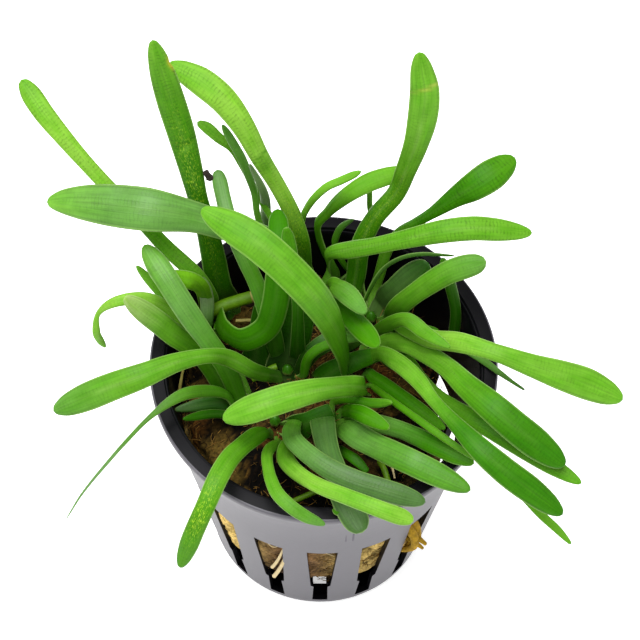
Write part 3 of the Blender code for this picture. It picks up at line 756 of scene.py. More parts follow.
# The look of each leaf, foot to tip
LOOKS: dict[str, LeafLook] = {
    "leaf_west_1": L((T.GRASS, T.FRESH, T.GRASS, T.BRIGHT, T.BRIGHT, T.FRESH), "leaf_netted"),
    "leaf_west_2": L((T.DARK, T.DEEP, T.DEEP, T.GRASS, T.FRESH), "leaf_netted", marks=(
        Mark(K.FLECKS, 0.45, 0.0, 0.25, 0.6, strength=0.8),
        # Painted shade in the fold of this crease, and a painted highlight on the ridge beside it.
        Mark(K.CREASE, 0.655, 0.1, 0.004, 0.9, T.DARK, 0.7, -0.012),
        Mark(K.CREASE, 0.635, 0.0, 0.006, 0.5, T.BRIGHT, 0.4, -0.012),
        Mark(K.NICK, 0.915, 1.0, 0.012, strength=0.12),
        Mark(K.PATCH, 0.912, 0.92, 0.02, 0.16, T.YELLOW, 0.9))),
    "leaf_west_3": L((T.GRASS, T.FRESH, T.LIME, T.LIME, T.LIME), lift=3.2),
    "leaf_west_4": L((T.GRASS, T.DEEP, T.DEEP, T.DEEP), "leaf_smooth", margin=0.6),
    "leaf_west_5": L((T.GRASS, T.SILVER, T.PALE), "leaf_silver"),
    "leaf_north_1": L((T.GRASS, T.GRASS, T.BRIGHT, T.BRIGHT, T.BRIGHT, T.FRESH), "leaf_netted", marks=(
        # Painted shade in the fold of this crease and on the darker band beside it.
        Mark(K.CREASE, 0.575, 0.0, 0.004, 1.2, T.DEEP, 0.7, -0.01),
        Mark(K.PATCH, 0.545, 0.1, 0.03, 0.8, T.GRASS, 0.6),
        Mark(K.FLECKS, 0.28, 0.0, 0.16, 0.8, strength=0.7))),
    "leaf_north_2": L((T.GRASS, T.LEAF, T.SILVER, T.SILVER, T.SILVER, T.FRESH), "leaf_silver", margin=0.5),
    "leaf_north_3": L((T.GRASS, T.LEAF, T.FRESH, T.FRESH), "leaf_smooth"),
    "leaf_north_4": L((T.GRASS, T.GRASS, T.LEAF, T.FRESH), "leaf_smooth"),
    "leaf_north_5": L((T.GRASS, T.LEAF, T.LEAF, T.FRESH), "leaf_netted", midrib=0.12),
    "leaf_north_6": L((T.GRASS, T.LEAF, T.SILVER)),
    "leaf_north_7": L((T.DEEP, T.DEEP, T.DEEP, T.GRASS), "leaf_smooth"),
    "leaf_north_8": L((T.DEEP, T.GRASS, T.GREY)),
    "leaf_north_9": L((T.SILVER, T.LEAF, T.FRESH, T.FRESH), "leaf_netted"),
    "leaf_north_10": L((T.GRASS, T.LEAF, T.SILVER, T.SILVER)),
    "leaf_east_1": L((T.DEEP, T.DEEP, T.GRASS, T.LEAF, T.FRESH, T.FRESH), marks=(
        Mark(K.CREASE, 0.885, 0.2, 0.005, 0.9, T.STRAW, 0.55, -0.01),
        Mark(K.FLECKS, 0.35, 0.0, 0.2, 0.6, strength=0.5)), midrib=0.18),
    "leaf_east_2": L((T.LEAF, T.LEAF, T.DEEP, T.DEEP, T.GRASS), "leaf_netted"),
    "leaf_east_3": L((T.GRASS, T.LEAF, T.FRESH)),
    "leaf_east_4": L((T.GRASS, T.SILVER, T.SILVER)),
    "leaf_east_5": L((T.GRASS, T.LEAF, T.LEAF, T.SILVER), "leaf_veined"),
    "leaf_east_6": L((T.GREY, T.GREY, T.GREY, T.DARK), "leaf_silver"),
    "leaf_east_7": L((T.DARK, T.DARK, T.GRASS)),
    "leaf_east_8": L((T.LEAF, T.LEAF, T.BRIGHT, T.FRESH, T.FRESH, T.FRESH), "leaf_veined"),
    "leaf_east_9": L((T.LEAF, T.FRESH, T.FRESH, T.GRASS, T.DEEP, T.DEEP), "leaf_veined", margin=0.5),
    "leaf_east_10": L((T.GRASS, T.FRESH, T.FRESH, T.DEEP, T.DEEP, T.DEEP), "leaf_veined"),
    "leaf_east_11": L((T.GRASS, T.LEAF, T.GRASS, T.LEAF)),
    "leaf_east_12": L((T.GRASS, T.LEAF, T.LEAF)),
    "leaf_centre_1": L((T.GRASS, T.GRASS, T.LEAF, T.LEAF, T.FRESH), "leaf_veined", margin=0.5, midrib=0.1),
    "leaf_centre_2": L((T.GRASS, T.LEAF, T.FRESH, T.FRESH), "leaf_veined", midrib=0.22),
    "leaf_centre_3": L((T.GRASS, T.GRASS, T.LEAF)),
    "leaf_centre_4": L((T.DEEP, T.DEEP, T.GRASS)),
    "leaf_middle_1": L((T.DEEP, T.LEAF, T.LEAF, T.LEAF, T.SILVER), "leaf_veined", midrib=0.18),
    "leaf_middle_2": L((T.DARK, T.DEEP, T.GRASS, T.SILVER, T.SILVER), "leaf_silver"),
    "leaf_middle_3": L((T.DARK, T.DARK, T.DEEP, T.GRASS)),
    "leaf_middle_4": L((T.DEEP, T.GRASS, T.SILVER)),
    "leaf_southwest_1": L((T.DEEP, T.GRASS, T.SILVER, T.LEAF), "leaf_silver", margin=0.5),
    "leaf_southwest_2": L((T.DARK, T.GRASS, T.LEAF, T.PALE), "leaf_veined"),
    "leaf_southwest_3": L((T.GRASS, T.LEAF, T.BRIGHT, T.BRIGHT, T.FRESH), "leaf_veined"),
    "leaf_southwest_4": L((T.GRASS, T.LEAF, T.FRESH)),
    "leaf_southwest_5": L((T.DEEP, T.LEAF, T.SILVER, T.SILVER), "leaf_silver"),
    "leaf_southwest_6": L((T.DARK, T.DARK, T.DEEP)),
    "leaf_front_1": L((T.DARK, T.GRASS, T.LEAF, T.GRASS, T.GRASS), "leaf_veined", marks=(
        Mark(K.FLECKS, 0.72, 0.1, 0.12, 0.7, strength=1.0),)),
    "leaf_front_2": L((T.GRASS, T.LEAF, T.LEAF, T.SILVER), "leaf_veined", margin=0.6),
    "leaf_front_3": L((T.GRASS, T.FRESH, T.BRIGHT, T.FRESH, T.BRIGHT), "leaf_veined"),
    "leaf_front_4": L((T.GRASS, T.SILVER, T.GREY, T.GREY), "leaf_silver", margin=0.5),
    "leaf_south_1": L((T.GRASS, T.SILVER, T.GRASS, T.GRASS), "leaf_silver"),
    "leaf_south_2": L((T.DEEP, T.DEEP, T.DEEP, T.GRASS), "leaf_smooth"),
    "leaf_south_3": L((T.SILVER, T.GREY, T.GREY, T.GREY), "leaf_silver", margin=0.6),
    "leaf_south_4": L((T.GRASS, T.SILVER, T.DEEP, T.GRASS)),
    "leaf_south_5": L((T.GRASS, T.DEEP, T.LEAF)),
}


@dataclass
class Foliage:
    """All the strap leaves."""

    effects: SharedEffects
    skins: tuple[SkinFinish, ...] = (
        SkinFinish("leaf_veined", 0.8, 0.45, 0.1, 0.6, specular=0.1),
        SkinFinish("leaf_netted", 0.7, 1.0, 0.1, 0.6, specular=0.08),
        SkinFinish("leaf_silver", 1.0, 0.4, 0.12, 0.35, specular=0.3),
        SkinFinish("leaf_smooth", 0.4, 0.25, 0.08, 0.45, specular=0.05),
    )

    def build(self) -> int:
        """Make a fine leaf for every CAD leaf.

        Returns:
            How many leaves were made.
        """
        materials = {skin.name: skin.build(self.effects) for skin in self.skins}
        crowns = {name: sum(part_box(name), Vector()) / 2 for name in frame["nodes"] if name.startswith("crown_")}
        names = sorted(name for name in frame["nodes"] if name.startswith("leaf_"))
        for seed, name in enumerate(names):
            stations = CadLeaf(frame["nodes"][name]).stations()
            crown = crowns["crown_" + name.split("_")[1]]
            for station in stations:
                station.centre += VIEW * LOOKS[name].lift * MM * float(ease(0.35, 0.85, station.share))
            foot = stations[0].centre.lerp(crown, 0.65)
            foot.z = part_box("wool_plug")[1].z - 0.6 * MM
            leaf = StrapLeaf("fine_" + name, LeafCurve(stations, foot), LOOKS[name], seed)
            piece = leaf.build()
            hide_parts(name)
            dress(piece, materials[LOOKS[name].skin])
            LOG.info("%s: %d faces", piece.name, len(piece.data.polygons))
        return len(names)



@dataclass(frozen=True)
class Strand:
    """One thin round piece: its route in millimetres and its radius at both ends."""

    route: tuple[Point, ...]
    radius: float
    tip_radius: float | None = None


def strands_piece(
    name: str, strands: list[Strand], sides: int = 0, smooth_order: int = 3, steps: int = 4
) -> bpy.types.Object:
    """Sweep strands into one mesh.

    Args:
        name: the piece's name.
        strands: the routes.
        sides: the curve's bevel resolution, 0 for four sides.
        smooth_order: the spline's order.
        steps: how many straight steps each stretch between two points gets.

    Returns:
        The piece.
    """
    curve = bpy.data.curves.new(name, "CURVE")
    curve.dimensions = "3D"
    curve.bevel_depth = MM
    curve.bevel_resolution = sides
    curve.use_fill_caps = True
    curve.resolution_u = steps
    for strand in strands:
        spline = curve.splines.new("NURBS")
        spline.points.add(len(strand.route) - 1)
        last = strand.radius if strand.tip_radius is None else strand.tip_radius
        for index, place in enumerate(strand.route):
            share = index / (len(strand.route) - 1)
            spline.points[index].co = (*(c * MM for c in place), 1.0)
            spline.points[index].radius = strand.radius + (last - strand.radius) * share
        spline.order_u = min(smooth_order, len(strand.route))
        spline.use_endpoint_u = True
        spline.resolution_u = steps
    holder = bpy.data.objects.new(name + "_route", curve)
    bpy.context.scene.collection.objects.link(holder)
    bpy.context.view_layer.update()
    mesh = bpy.data.meshes.new_from_object(holder.evaluated_get(bpy.context.evaluated_depsgraph_get()))
    mesh.name = name
    bpy.data.objects.remove(holder)
    return piece_of(name, mesh)


@dataclass(frozen=True)
class LooseLeaf:
    """A small leaf, stub or leaf base: its route with full widths, in millimetres, and its look."""

    name: str
    route: tuple[tuple[float, float, float, float], ...]
    look: LeafLook
    facing: Point = (0.0, -0.45, 0.9)
    thickness: float = 0.35
    tip_share: float = 0.985

    def stations(self) -> list[Station]:
        """The cross sections along the route."""
        centres = [Vector(stop[:3]) * MM for stop in self.route]
        run = [0.0]
        for first, second in zip(centres, centres[1:]):
            run.append(run[-1] + (second - first).length)
        last = len(centres) - 1
        found = []
        for i, centre in enumerate(centres):
            way = (centres[min(i + 1, last)] - centres[max(i - 1, 0)]).normalized()
            across = way.cross(Vector(self.facing)).normalized()
            half = self.route[i][3] / 2 * MM
            share = run[i] / run[-1] * self.tip_share
            found.append(Station(centre, across, across.cross(way), half, self.thickness / 2 * MM, share))
        return found


LOOSE: tuple[LooseLeaf, ...] = (
    LooseLeaf("pale_thin_leaf", ((-10.4, 24.0, 44.0, 1.0), (-10.1, 24.6, 49.0, 1.4), (-9.8, 24.6, 55.0, 1.6),
                                 (-10.2, 24.4, 60.0, 1.3), (-12.1, 24.9, 66.0, 0.5)),
              L((T.SILVER, T.MINT, T.MINT), "leaf_silver", margin=0.2)),
    LooseLeaf("grass_leaf_east", ((12.0, 10.0, 42.0, 0.9), (19.3, 6.0, 47.0, 1.0), (23.4, 1.9, 50.0, 1.2),
                                  (26.5, -1.2, 51.0, 0.9), (28.4, -2.4, 50.5, 0.6), (30.2, -3.4, 50.0, 0.4)),
              L((T.DARK, T.SILVER, T.GREY), "leaf_smooth")),
    LooseLeaf("grass_leaf_south", ((26.6, -15.2, 47.0, 0.9), (29.8, -19.0, 46.5, 1.1), (32.9, -22.3, 46.0, 1.3),
                                   (35.4, -24.5, 45.5, 1.2), (37.3, -26.4, 45.0, 0.5)),
              L((T.GRASS, T.LEAF, T.LEAF), "leaf_smooth")),
    LooseLeaf("small_tip", ((3.0, -24.2, 51.6, 2.2), (3.9, -25.4, 51.8, 2.9), (4.9, -26.5, 51.2, 2.6)),
              L((T.GRASS, T.DEEP, T.GRASS), "leaf_netted", margin=0.9)),
    LooseLeaf("small_leaf", ((2.4, -10.6, 42.0, 1.0), (3.8, -13.0, 45.4, 1.5), (5.3, -14.3, 45.9, 1.6),
                             (7.1, -15.9, 45.4, 0.8)), L((T.DARK, T.DEEP, T.DEEP))),
    LooseLeaf("silver_curl", ((-19.6, 7.2, 42.6, 1.4), (-18.4, 8.2, 46.4, 2.2), (-18.2, 10.2, 49.4, 2.6),
                              (-18.8, 12.0, 51.4, 2.2), (-20.0, 13.6, 52.6, 0.8)),
              L((T.GREY, T.SILVER, T.MINT, T.SILVER), "leaf_silver", margin=0.9), (0.55, -0.5, 0.6)),
    # The leaf bases and stubs in SHADE below carry painted shade deep among the leaves.
    LooseLeaf("leaf_base_middle", ((-6.0, 1.5, 40.4, 4.8), (-5.2, 5.0, 44.5, 5.4), (-4.2, 8.7, 49.0, 5.2),
                                   (-3.8, 10.2, 51.0, 3.6)), L((T.SHADE, T.SHADE, T.DARK, T.DARK), "leaf_netted")),
    LooseLeaf("leaf_base_west", ((-11.2, 3.0, 40.6, 3.2), (-10.3, 6.1, 44.5, 3.4), (-9.8, 9.4, 48.6, 3.0),
                                 (-9.6, 10.6, 49.8, 2.0)), L((T.SHADE, T.DARK, T.DARK), "leaf_smooth")),
    LooseLeaf("arching_base", ((4.6, 7.4, 41.2, 2.6), (3.4, 6.6, 46.0, 3.0), (0.8, 4.4, 49.0, 3.0),
                               (-1.9, 3.3, 47.0, 2.8), (-3.7, 2.7, 42.0, 2.0)),
              L((T.GRASS, T.SILVER, T.DARK, T.SHADE), "leaf_silver"), (0.1, -0.6, 0.8)),
    LooseLeaf("leaf_base_centre", ((-1.0, 1.2, 41.0, 2.6), (1.8, 2.0, 44.0, 3.2), (5.0, 3.0, 45.6, 3.0),
                                   (8.6, 4.6, 45.2, 2.0)), L((T.DARK, T.DARK, T.DEEP), "leaf_smooth")),
    LooseLeaf("folded_leaf", ((-12.7, -3.7, 43.2, 1.6), (-15.4, -4.7, 45.2, 2.3), (-18.6, -6.0, 46.4, 2.0),
                              (-22.2, -7.3, 47.0, 0.6)), L((T.SHADE, T.DARK, T.GREY), "leaf_silver")),
    LooseLeaf("leaf_base_east", ((9.6, 4.6, 41.2, 3.4), (12.0, 6.4, 44.2, 3.6), (15.4, 7.4, 46.6, 3.0),
                                 (17.6, 7.2, 47.2, 1.6)), L((T.DARK, T.DEEP, T.DEEP), "leaf_smooth")),
    LooseLeaf("leaf_base_front", ((-4.6, -7.4, 41.2, 3.2), (-1.8, -6.8, 43.4, 3.4), (1.6, -5.4, 44.6, 2.6)),
              L((T.SHADE, T.DARK, T.DARK), "leaf_smooth")),
)


@dataclass(frozen=True)
class StrandSet:
    """Strands of one look: stalks, runners or roots."""

    name: str
    finish: RoughFinish
    slot: str | None
    strands: tuple[Strand, ...]


STRAND_SETS: tuple[StrandSet, ...] = (
    StrandSet("stalks", RoughFinish("stalk_skin", (92, 134, 10), 0.5, 1.4, 0.5, 0.2, 0.3), "leaf", (
        Strand(((-18.2, 10.9, 44.6), (-17.4, 11.3, 46.0), (-14.9, 12.1, 46.5), (-11.7, 13.0, 46.9)), 1.05, 1.0),
        Strand(((9.0, -12.6, 42.0), (9.6, -13.8, 43.2), (10.3, -16.0, 42.4)), 0.5, 0.45),
        Strand(((-10.9, 1.6, 41.0), (-8.9, 2.4, 42.8), (-7.3, 3.0, 43.0)), 0.5, 0.5),
        Strand(((-5.2, -19.9, 41.2), (-2.2, -19.0, 42.8), (0.6, -17.8, 43.0)), 0.45, 0.45),
    )),
    StrandSet("pale_stalks", RoughFinish("pale_stalk_skin", (172, 160, 84), 0.5, 1.2, 0.4, 0.2, 0.3), "leaf", (
        Strand(((-11.9, 12.94, 46.86), (-11.3, 13.15, 46.95), (-11.0, 13.2, 46.98)), 0.92, 0.8),
        Strand(((-14.0, 10.9, 43.0), (-12.0, 11.0, 43.2), (-9.9, 11.2, 43.0)), 0.3, 0.25),
        Strand(((-22.3, -1.2, 41.0), (-22.0, 0.0, 43.0), (-21.7, 0.9, 44.4)), 0.3, 0.2),
        Strand(((16.6, 16.9, 40.8), (17.6, 16.2, 42.2), (18.7, 15.2, 42.6), (20.5, 14.2, 41.8)), 0.7, 0.4),
        Strand(((-14.6, -17.6, 40.6), (-14.2, -16.2, 42.6), (-13.8, -15.2, 43.2)), 0.25, 0.2),
    )),
    StrandSet("roots", RoughFinish("root_skin", (196, 176, 128), 0.6, 0.8, 0.35, 0.3, 0.3), None, (
        Strand(((-5.0, -19.6, 27.0), (-5.8, -20.1, 23.0), (-6.6, -20.0, 19.6), (-7.2, -19.8, 18.0)), 0.2, 0.3),
        Strand(((-4.5, -19.8, 26.0), (-5.2, -20.3, 21.5), (-6.1, -20.0, 17.0), (-6.9, -19.6, 14.0)), 0.26, 0.36),
        Strand(((-8.0, -19.6, 27.8), (-7.6, -20.3, 26.7), (-6.6, -20.5, 26.4), (-5.8, -20.1, 27.6)), 0.13, 0.1),
        Strand(((-1.4, -20.4, 27.6), (0.5, -20.8, 26.6), (2.6, -20.9, 25.4)), 0.1, 0.07),
        Strand(((10.7, -12.6, 41.4), (10.9, -13.4, 42.4), (11.3, -15.0, 41.6)), 0.22, 0.16),
        Strand(((13.0, -12.4, 41.2), (13.4, -13.2, 42.0), (13.8, -14.2, 41.4)), 0.2, 0.14),
    )),
    StrandSet("debris", RoughFinish("debris_skin", (46, 38, 34), 0.9, 0.6, 0.8, 0.6, 0.2), "wool", (
        Strand(((-18.5, 20.2, 70.9), (-18.1, 19.9, 70.2), (-17.8, 20.1, 69.4)), 0.45, 0.55),
        Strand(((-18.2, 20.2, 71.2), (-18.4, 19.9, 70.4), (-18.1, 20.3, 69.2), (-18.3, 20.5, 68.4)), 0.25, 0.2),
    )),
    StrandSet("wall_nub", RoughFinish("nub_skin", (70, 66, 76), 0.5, 0.6, 0.3, 0.1, 0.2), "pot", (
        Strand(((4.2, -22.95, 38.0), (4.2, -22.7, 36.4), (4.2, -22.48, 34.8)), 0.2, 0.2),
        Strand(((5.3, -22.75, 38.2), (5.3, -22.5, 36.4), (5.3, -22.2, 34.6)), 0.24, 0.24),
    )),
    StrandSet("wool_bulge", RoughFinish("bulge_wool", (150, 118, 28), 0.95, 0.9, 1.0, 0.9, 0.2), "wool", (
        Strand(((13.7, -14.4, 24.0), (15.1, -15.2, 22.4), (15.9, -15.8, 19.6), (15.1, -15.2, 16.4),
                (13.6, -14.2, 14.2)), 0.85, 0.5),
        Strand(((14.7, -13.5, 23.4), (16.1, -14.4, 21.4), (16.1, -14.9, 18.2), (14.5, -13.9, 15.2)), 0.95, 0.6),
        Strand(((14.2, -14.0, 21.0), (16.2, -15.4, 20.8), (17.2, -15.8, 19.8)), 0.7, 0.3),
        Strand(((14.2, -13.8, 18.0), (16.0, -14.8, 17.6), (16.9, -15.2, 16.8)), 0.6, 0.25),
    )),
)


@dataclass
class LooseThings:
    """The small leaves, stalks, roots and flecks that only the fine model holds."""

    effects: SharedEffects

    def build(self) -> int:
        """Make them all, and give back how many pieces there are."""
        skins = {name: bpy.data.materials[name] for name in ("leaf_veined", "leaf_netted", "leaf_silver", "leaf_smooth")}
        for seed, leaf in enumerate(LOOSE, start=100):
            piece = StrapLeaf(leaf.name, LeafCurve(leaf.stations()), leaf.look, seed, sides=16).build()
            dress(piece, skins[leaf.look.skin])
        for group in STRAND_SETS:
            piece = strands_piece(group.name, list(group.strands), sides=3, smooth_order=4)
            dress(piece, group.finish.build(self.effects))
        LOG.info("loose things: %d pieces", len(LOOSE) + len(STRAND_SETS))
        return len(LOOSE) + len(STRAND_SETS)


@dataclass
class WoolPlug:
    """The mineral wool plug: a lumpy block with loose fibres all over it."""

    effects: SharedEffects
    rings: int = 150
    sides: int = 250
    lump: float = 1.2
    sag: float = 3.2
    tuft: Point = (15.0, 13.0, 4.6)
    block: RoughFinish = RoughFinish("wool_block", (96, 66, 30), 0.95, 0.5, 1.3, 1.0, 0.1, True)
    pale: RoughFinish = RoughFinish("wool_fibre_pale", (128, 96, 44), 0.9, 1.5, 0.9, 0.2, 0.1)
    dark: RoughFinish = RoughFinish("wool_fibre_dark", (44, 30, 14), 0.9, 1.5, 0.9, 0.2, 0.1)

    def _profile(self) -> tuple[np.ndarray, np.ndarray]:
        """Heights of the CAD plug's rings, and each ring's middle and half sizes."""
        shape = bmesh.new()
        shape.from_mesh(frame["nodes"]["wool_plug"].data)
        bmesh.ops.remove_doubles(shape, verts=shape.verts, dist=WELD)
        levels: dict[float, list[Vector]] = {}
        for vert in shape.verts:
            levels.setdefault(round(vert.co.z, 5), []).append(vert.co.copy())
        shape.free()
        heights = sorted(levels)
        rows = []
        for height in heights:
            xs = [p.x for p in levels[height]]
            ys = [p.y for p in levels[height]]
            rows.append(((min(xs) + max(xs)) / 2, (min(ys) + max(ys)) / 2, max(xs) - min(xs), max(ys) - min(ys)))
        return np.array(heights), np.array(rows)

    def build(self) -> bpy.types.Object:
        """Make the block, and the fibres on it."""
        heights, rows = self._profile()
        low, high = heights[0] - self.sag * MM, heights[-1]
        shape = bmesh.new()
        bmesh.ops.create_uvsphere(shape, u_segments=self.sides, v_segments=self.rings, radius=1.0)
        tone = shape.verts.layers.float_color.new("tone")
        for vert in shape.verts:
            rise = vert.co.z
            flat = math.hypot(vert.co.x, vert.co.y)
            steep = min(1.0, flat * 1.9)
            level = low + (high - low) * (0.5 + 0.5 * max(-1.0, min(1.0, rise * 1.12)))
            middle_x, middle_y, size_x, size_y = (
                float(np.interp(level, heights, rows[:, column])) for column in range(4))
            unit = Vector((vert.co.x, vert.co.y, 0)) / max(flat, 1e-9)
            spot = Vector((
                middle_x + unit.x * size_x / 2 * steep,
                middle_y + unit.y * size_y / 2 * steep,
                level,
            ))
            coarse = noise.fractal(spot * 210, 1.0, 2.0, 4)
            fine = noise.fractal(spot * 1300, 0.7, 2.0, 4)
            outward = Vector((unit.x * steep, unit.y * steep, rise)).normalized()
            spot += outward * MM * (self.lump * coarse + 0.45 * fine + 0.15)
            reach = math.hypot(spot.x / MM - self.tuft[0], spot.y / MM - self.tuft[1])
            spot.z += self.tuft[2] * MM * math.exp(-((reach / 4.6) ** 2)) * max(0.0, rise)
            vert.co = self._inside(spot, unit)
            vert[tone] = (*self._tone(vert.co, coarse + 0.5 * fine), 1.0)
        block = piece_from("wool_block", shape)
        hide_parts("wool_plug")
        dress(block, self.block.build(self.effects))
        self._fibres(block, "wool_fibres_pale", self.pale, 5200, 11)
        self._fibres(block, "wool_fibres_dark", self.dark, 4200, 12)
        LOG.info("wool block: %d faces", len(block.data.polygons))
        return block

    @staticmethod
    def _inside(spot: Vector, unit: Vector) -> Vector:
        """Press a point of the block against the front windows, but keep it off the pot's wall."""
        level = spot.z / MM
        rise = min(1.0, max(0.0, (level - 8.0) / 4.0)) * min(1.0, max(0.0, (37.0 - level) / 4.0))
        spot = spot + unit * 2.2 * MM * rise * min(1.0, max(0.0, -unit.y * 2.5))
        pitch = 2 * math.pi / 16
        aside = (math.atan2(unit.y, unit.x) + math.pi / 2 - math.radians(1.8) + pitch / 2) % pitch - pitch / 2
        open_share = max(0.0, 1 - (abs(aside) * 20.5 / 1.9) ** 4) * min(1.0, max(0.0, (28.0 - level) / 3.0))
        bulge = open_share * min(1.0, max(0.0, (level - 11.0) / 3.0))
        most = (17.0 + 0.144 * level + 0.8 * bulge) * MM
        trim = min(1.0, most / max(math.hypot(spot.x, spot.y), WELD))
        return Vector((spot.x * trim, spot.y * trim, spot.z))

    @staticmethod
    def _tone(spot: Vector, coarse: float) -> Colour:
        """Tan at the sides; on top darker in the hollows, in patches more orange or more black: the hollows and the
        black patches are painted shade.
        """
        patch = noise.noise(spot * 120)
        rust = noise.noise(spot * 170 + Vector((3.1, 7.7, 1.3)))
        brown = np.array(linear((50, 36, 12)))
        tan = np.array(linear((88, 70, 28)))
        orange = np.array(linear((98, 56, 18)))
        # Near black painted shade, for the hollows and the dark patches.
        dark = np.array(linear((9, 7, 5)))
        straw = np.array(linear((188, 160, 92)))
        umber = np.array(linear((104, 76, 46)))
        mixed = brown + (tan - brown) * max(0.0, min(1.0, 0.3 + patch * 1.8))
        mixed = mixed + (orange - mixed) * max(0.0, min(1.0, rust * 1.5 - 0.15))
        # Painted shade: darker where the lumps sink and where the patch noise is low.
        mixed = dark + (mixed - dark) * max(0.0, min(1.0, 0.45 + coarse * 2.0 + patch * 1.1))
        flat = math.hypot(spot.x, spot.y) / MM
        side = max(0.0, min(1.0, (flat - 16.0) / 2.0)) * max(0.0, min(1.0, (37.0 - spot.z / MM) / 4.0))
        side *= max(0.0, min(1.0, (spot.z / MM - 11.0) / 1.5))
        middle = math.exp(-(((spot.x / MM + 3.5) / 6.5) ** 4))
        front = straw + (umber - straw) * middle
        # The sides darken in their hollows too, as painted shade.
        mixed = mixed + (front * max(0.1, 0.75 + 0.7 * coarse + 0.5 * patch) - mixed) * side
        return tuple(np.clip(mixed, 0.0, 1.0))

    def _fibres(self, block: bpy.types.Object, name: str, finish: RoughFinish, count: int, seed: int) -> None:
        """Loose fibres of one colour: short curved strands that lie over the block.

        Args:
            block: the block they lie on.
            name: the piece's name.
            finish: their finish.
            count: how many.
            seed: what their places are drawn from.
        """
        source = random.Random(seed)
        mesh = block.data
        strands = []
        for _ in range(count):
            vert = mesh.vertices[source.randrange(len(mesh.vertices))]
            normal = vert.normal
            spot = vert.co / MM + normal * 0.05
            way = Vector([source.gauss(0, 1) for _ in range(3)])
            way = (way - normal * way.dot(normal)).normalized()
            turn = Vector([source.gauss(0, 1) for _ in range(3)]) * 0.5
            step = source.uniform(0.25, 0.8)
            route = [tuple(spot - normal * 0.3)]
            for index in range(4):
                lift = normal * (0.28 if index < 3 else -0.15) * source.uniform(0.2, 1.3)
                spot = spot + way * step + lift * step
                way = (way + turn * 0.5 - normal * 0.25).normalized()
                most = 17.0 + 0.144 * spot.z
                trim = min(1.0, most / max(math.hypot(spot.x, spot.y), WELD)) if spot.z < 46 else 1.0
                route.append((spot.x * trim, spot.y * trim, spot.z))
            strands.append(Strand(tuple(route), source.uniform(0.025, 0.06)))
        piece = strands_piece(name, strands, steps=1)
        dress(piece, finish.build(self.effects))
        LOG.info("%s: %d faces", name, len(piece.data.polygons))



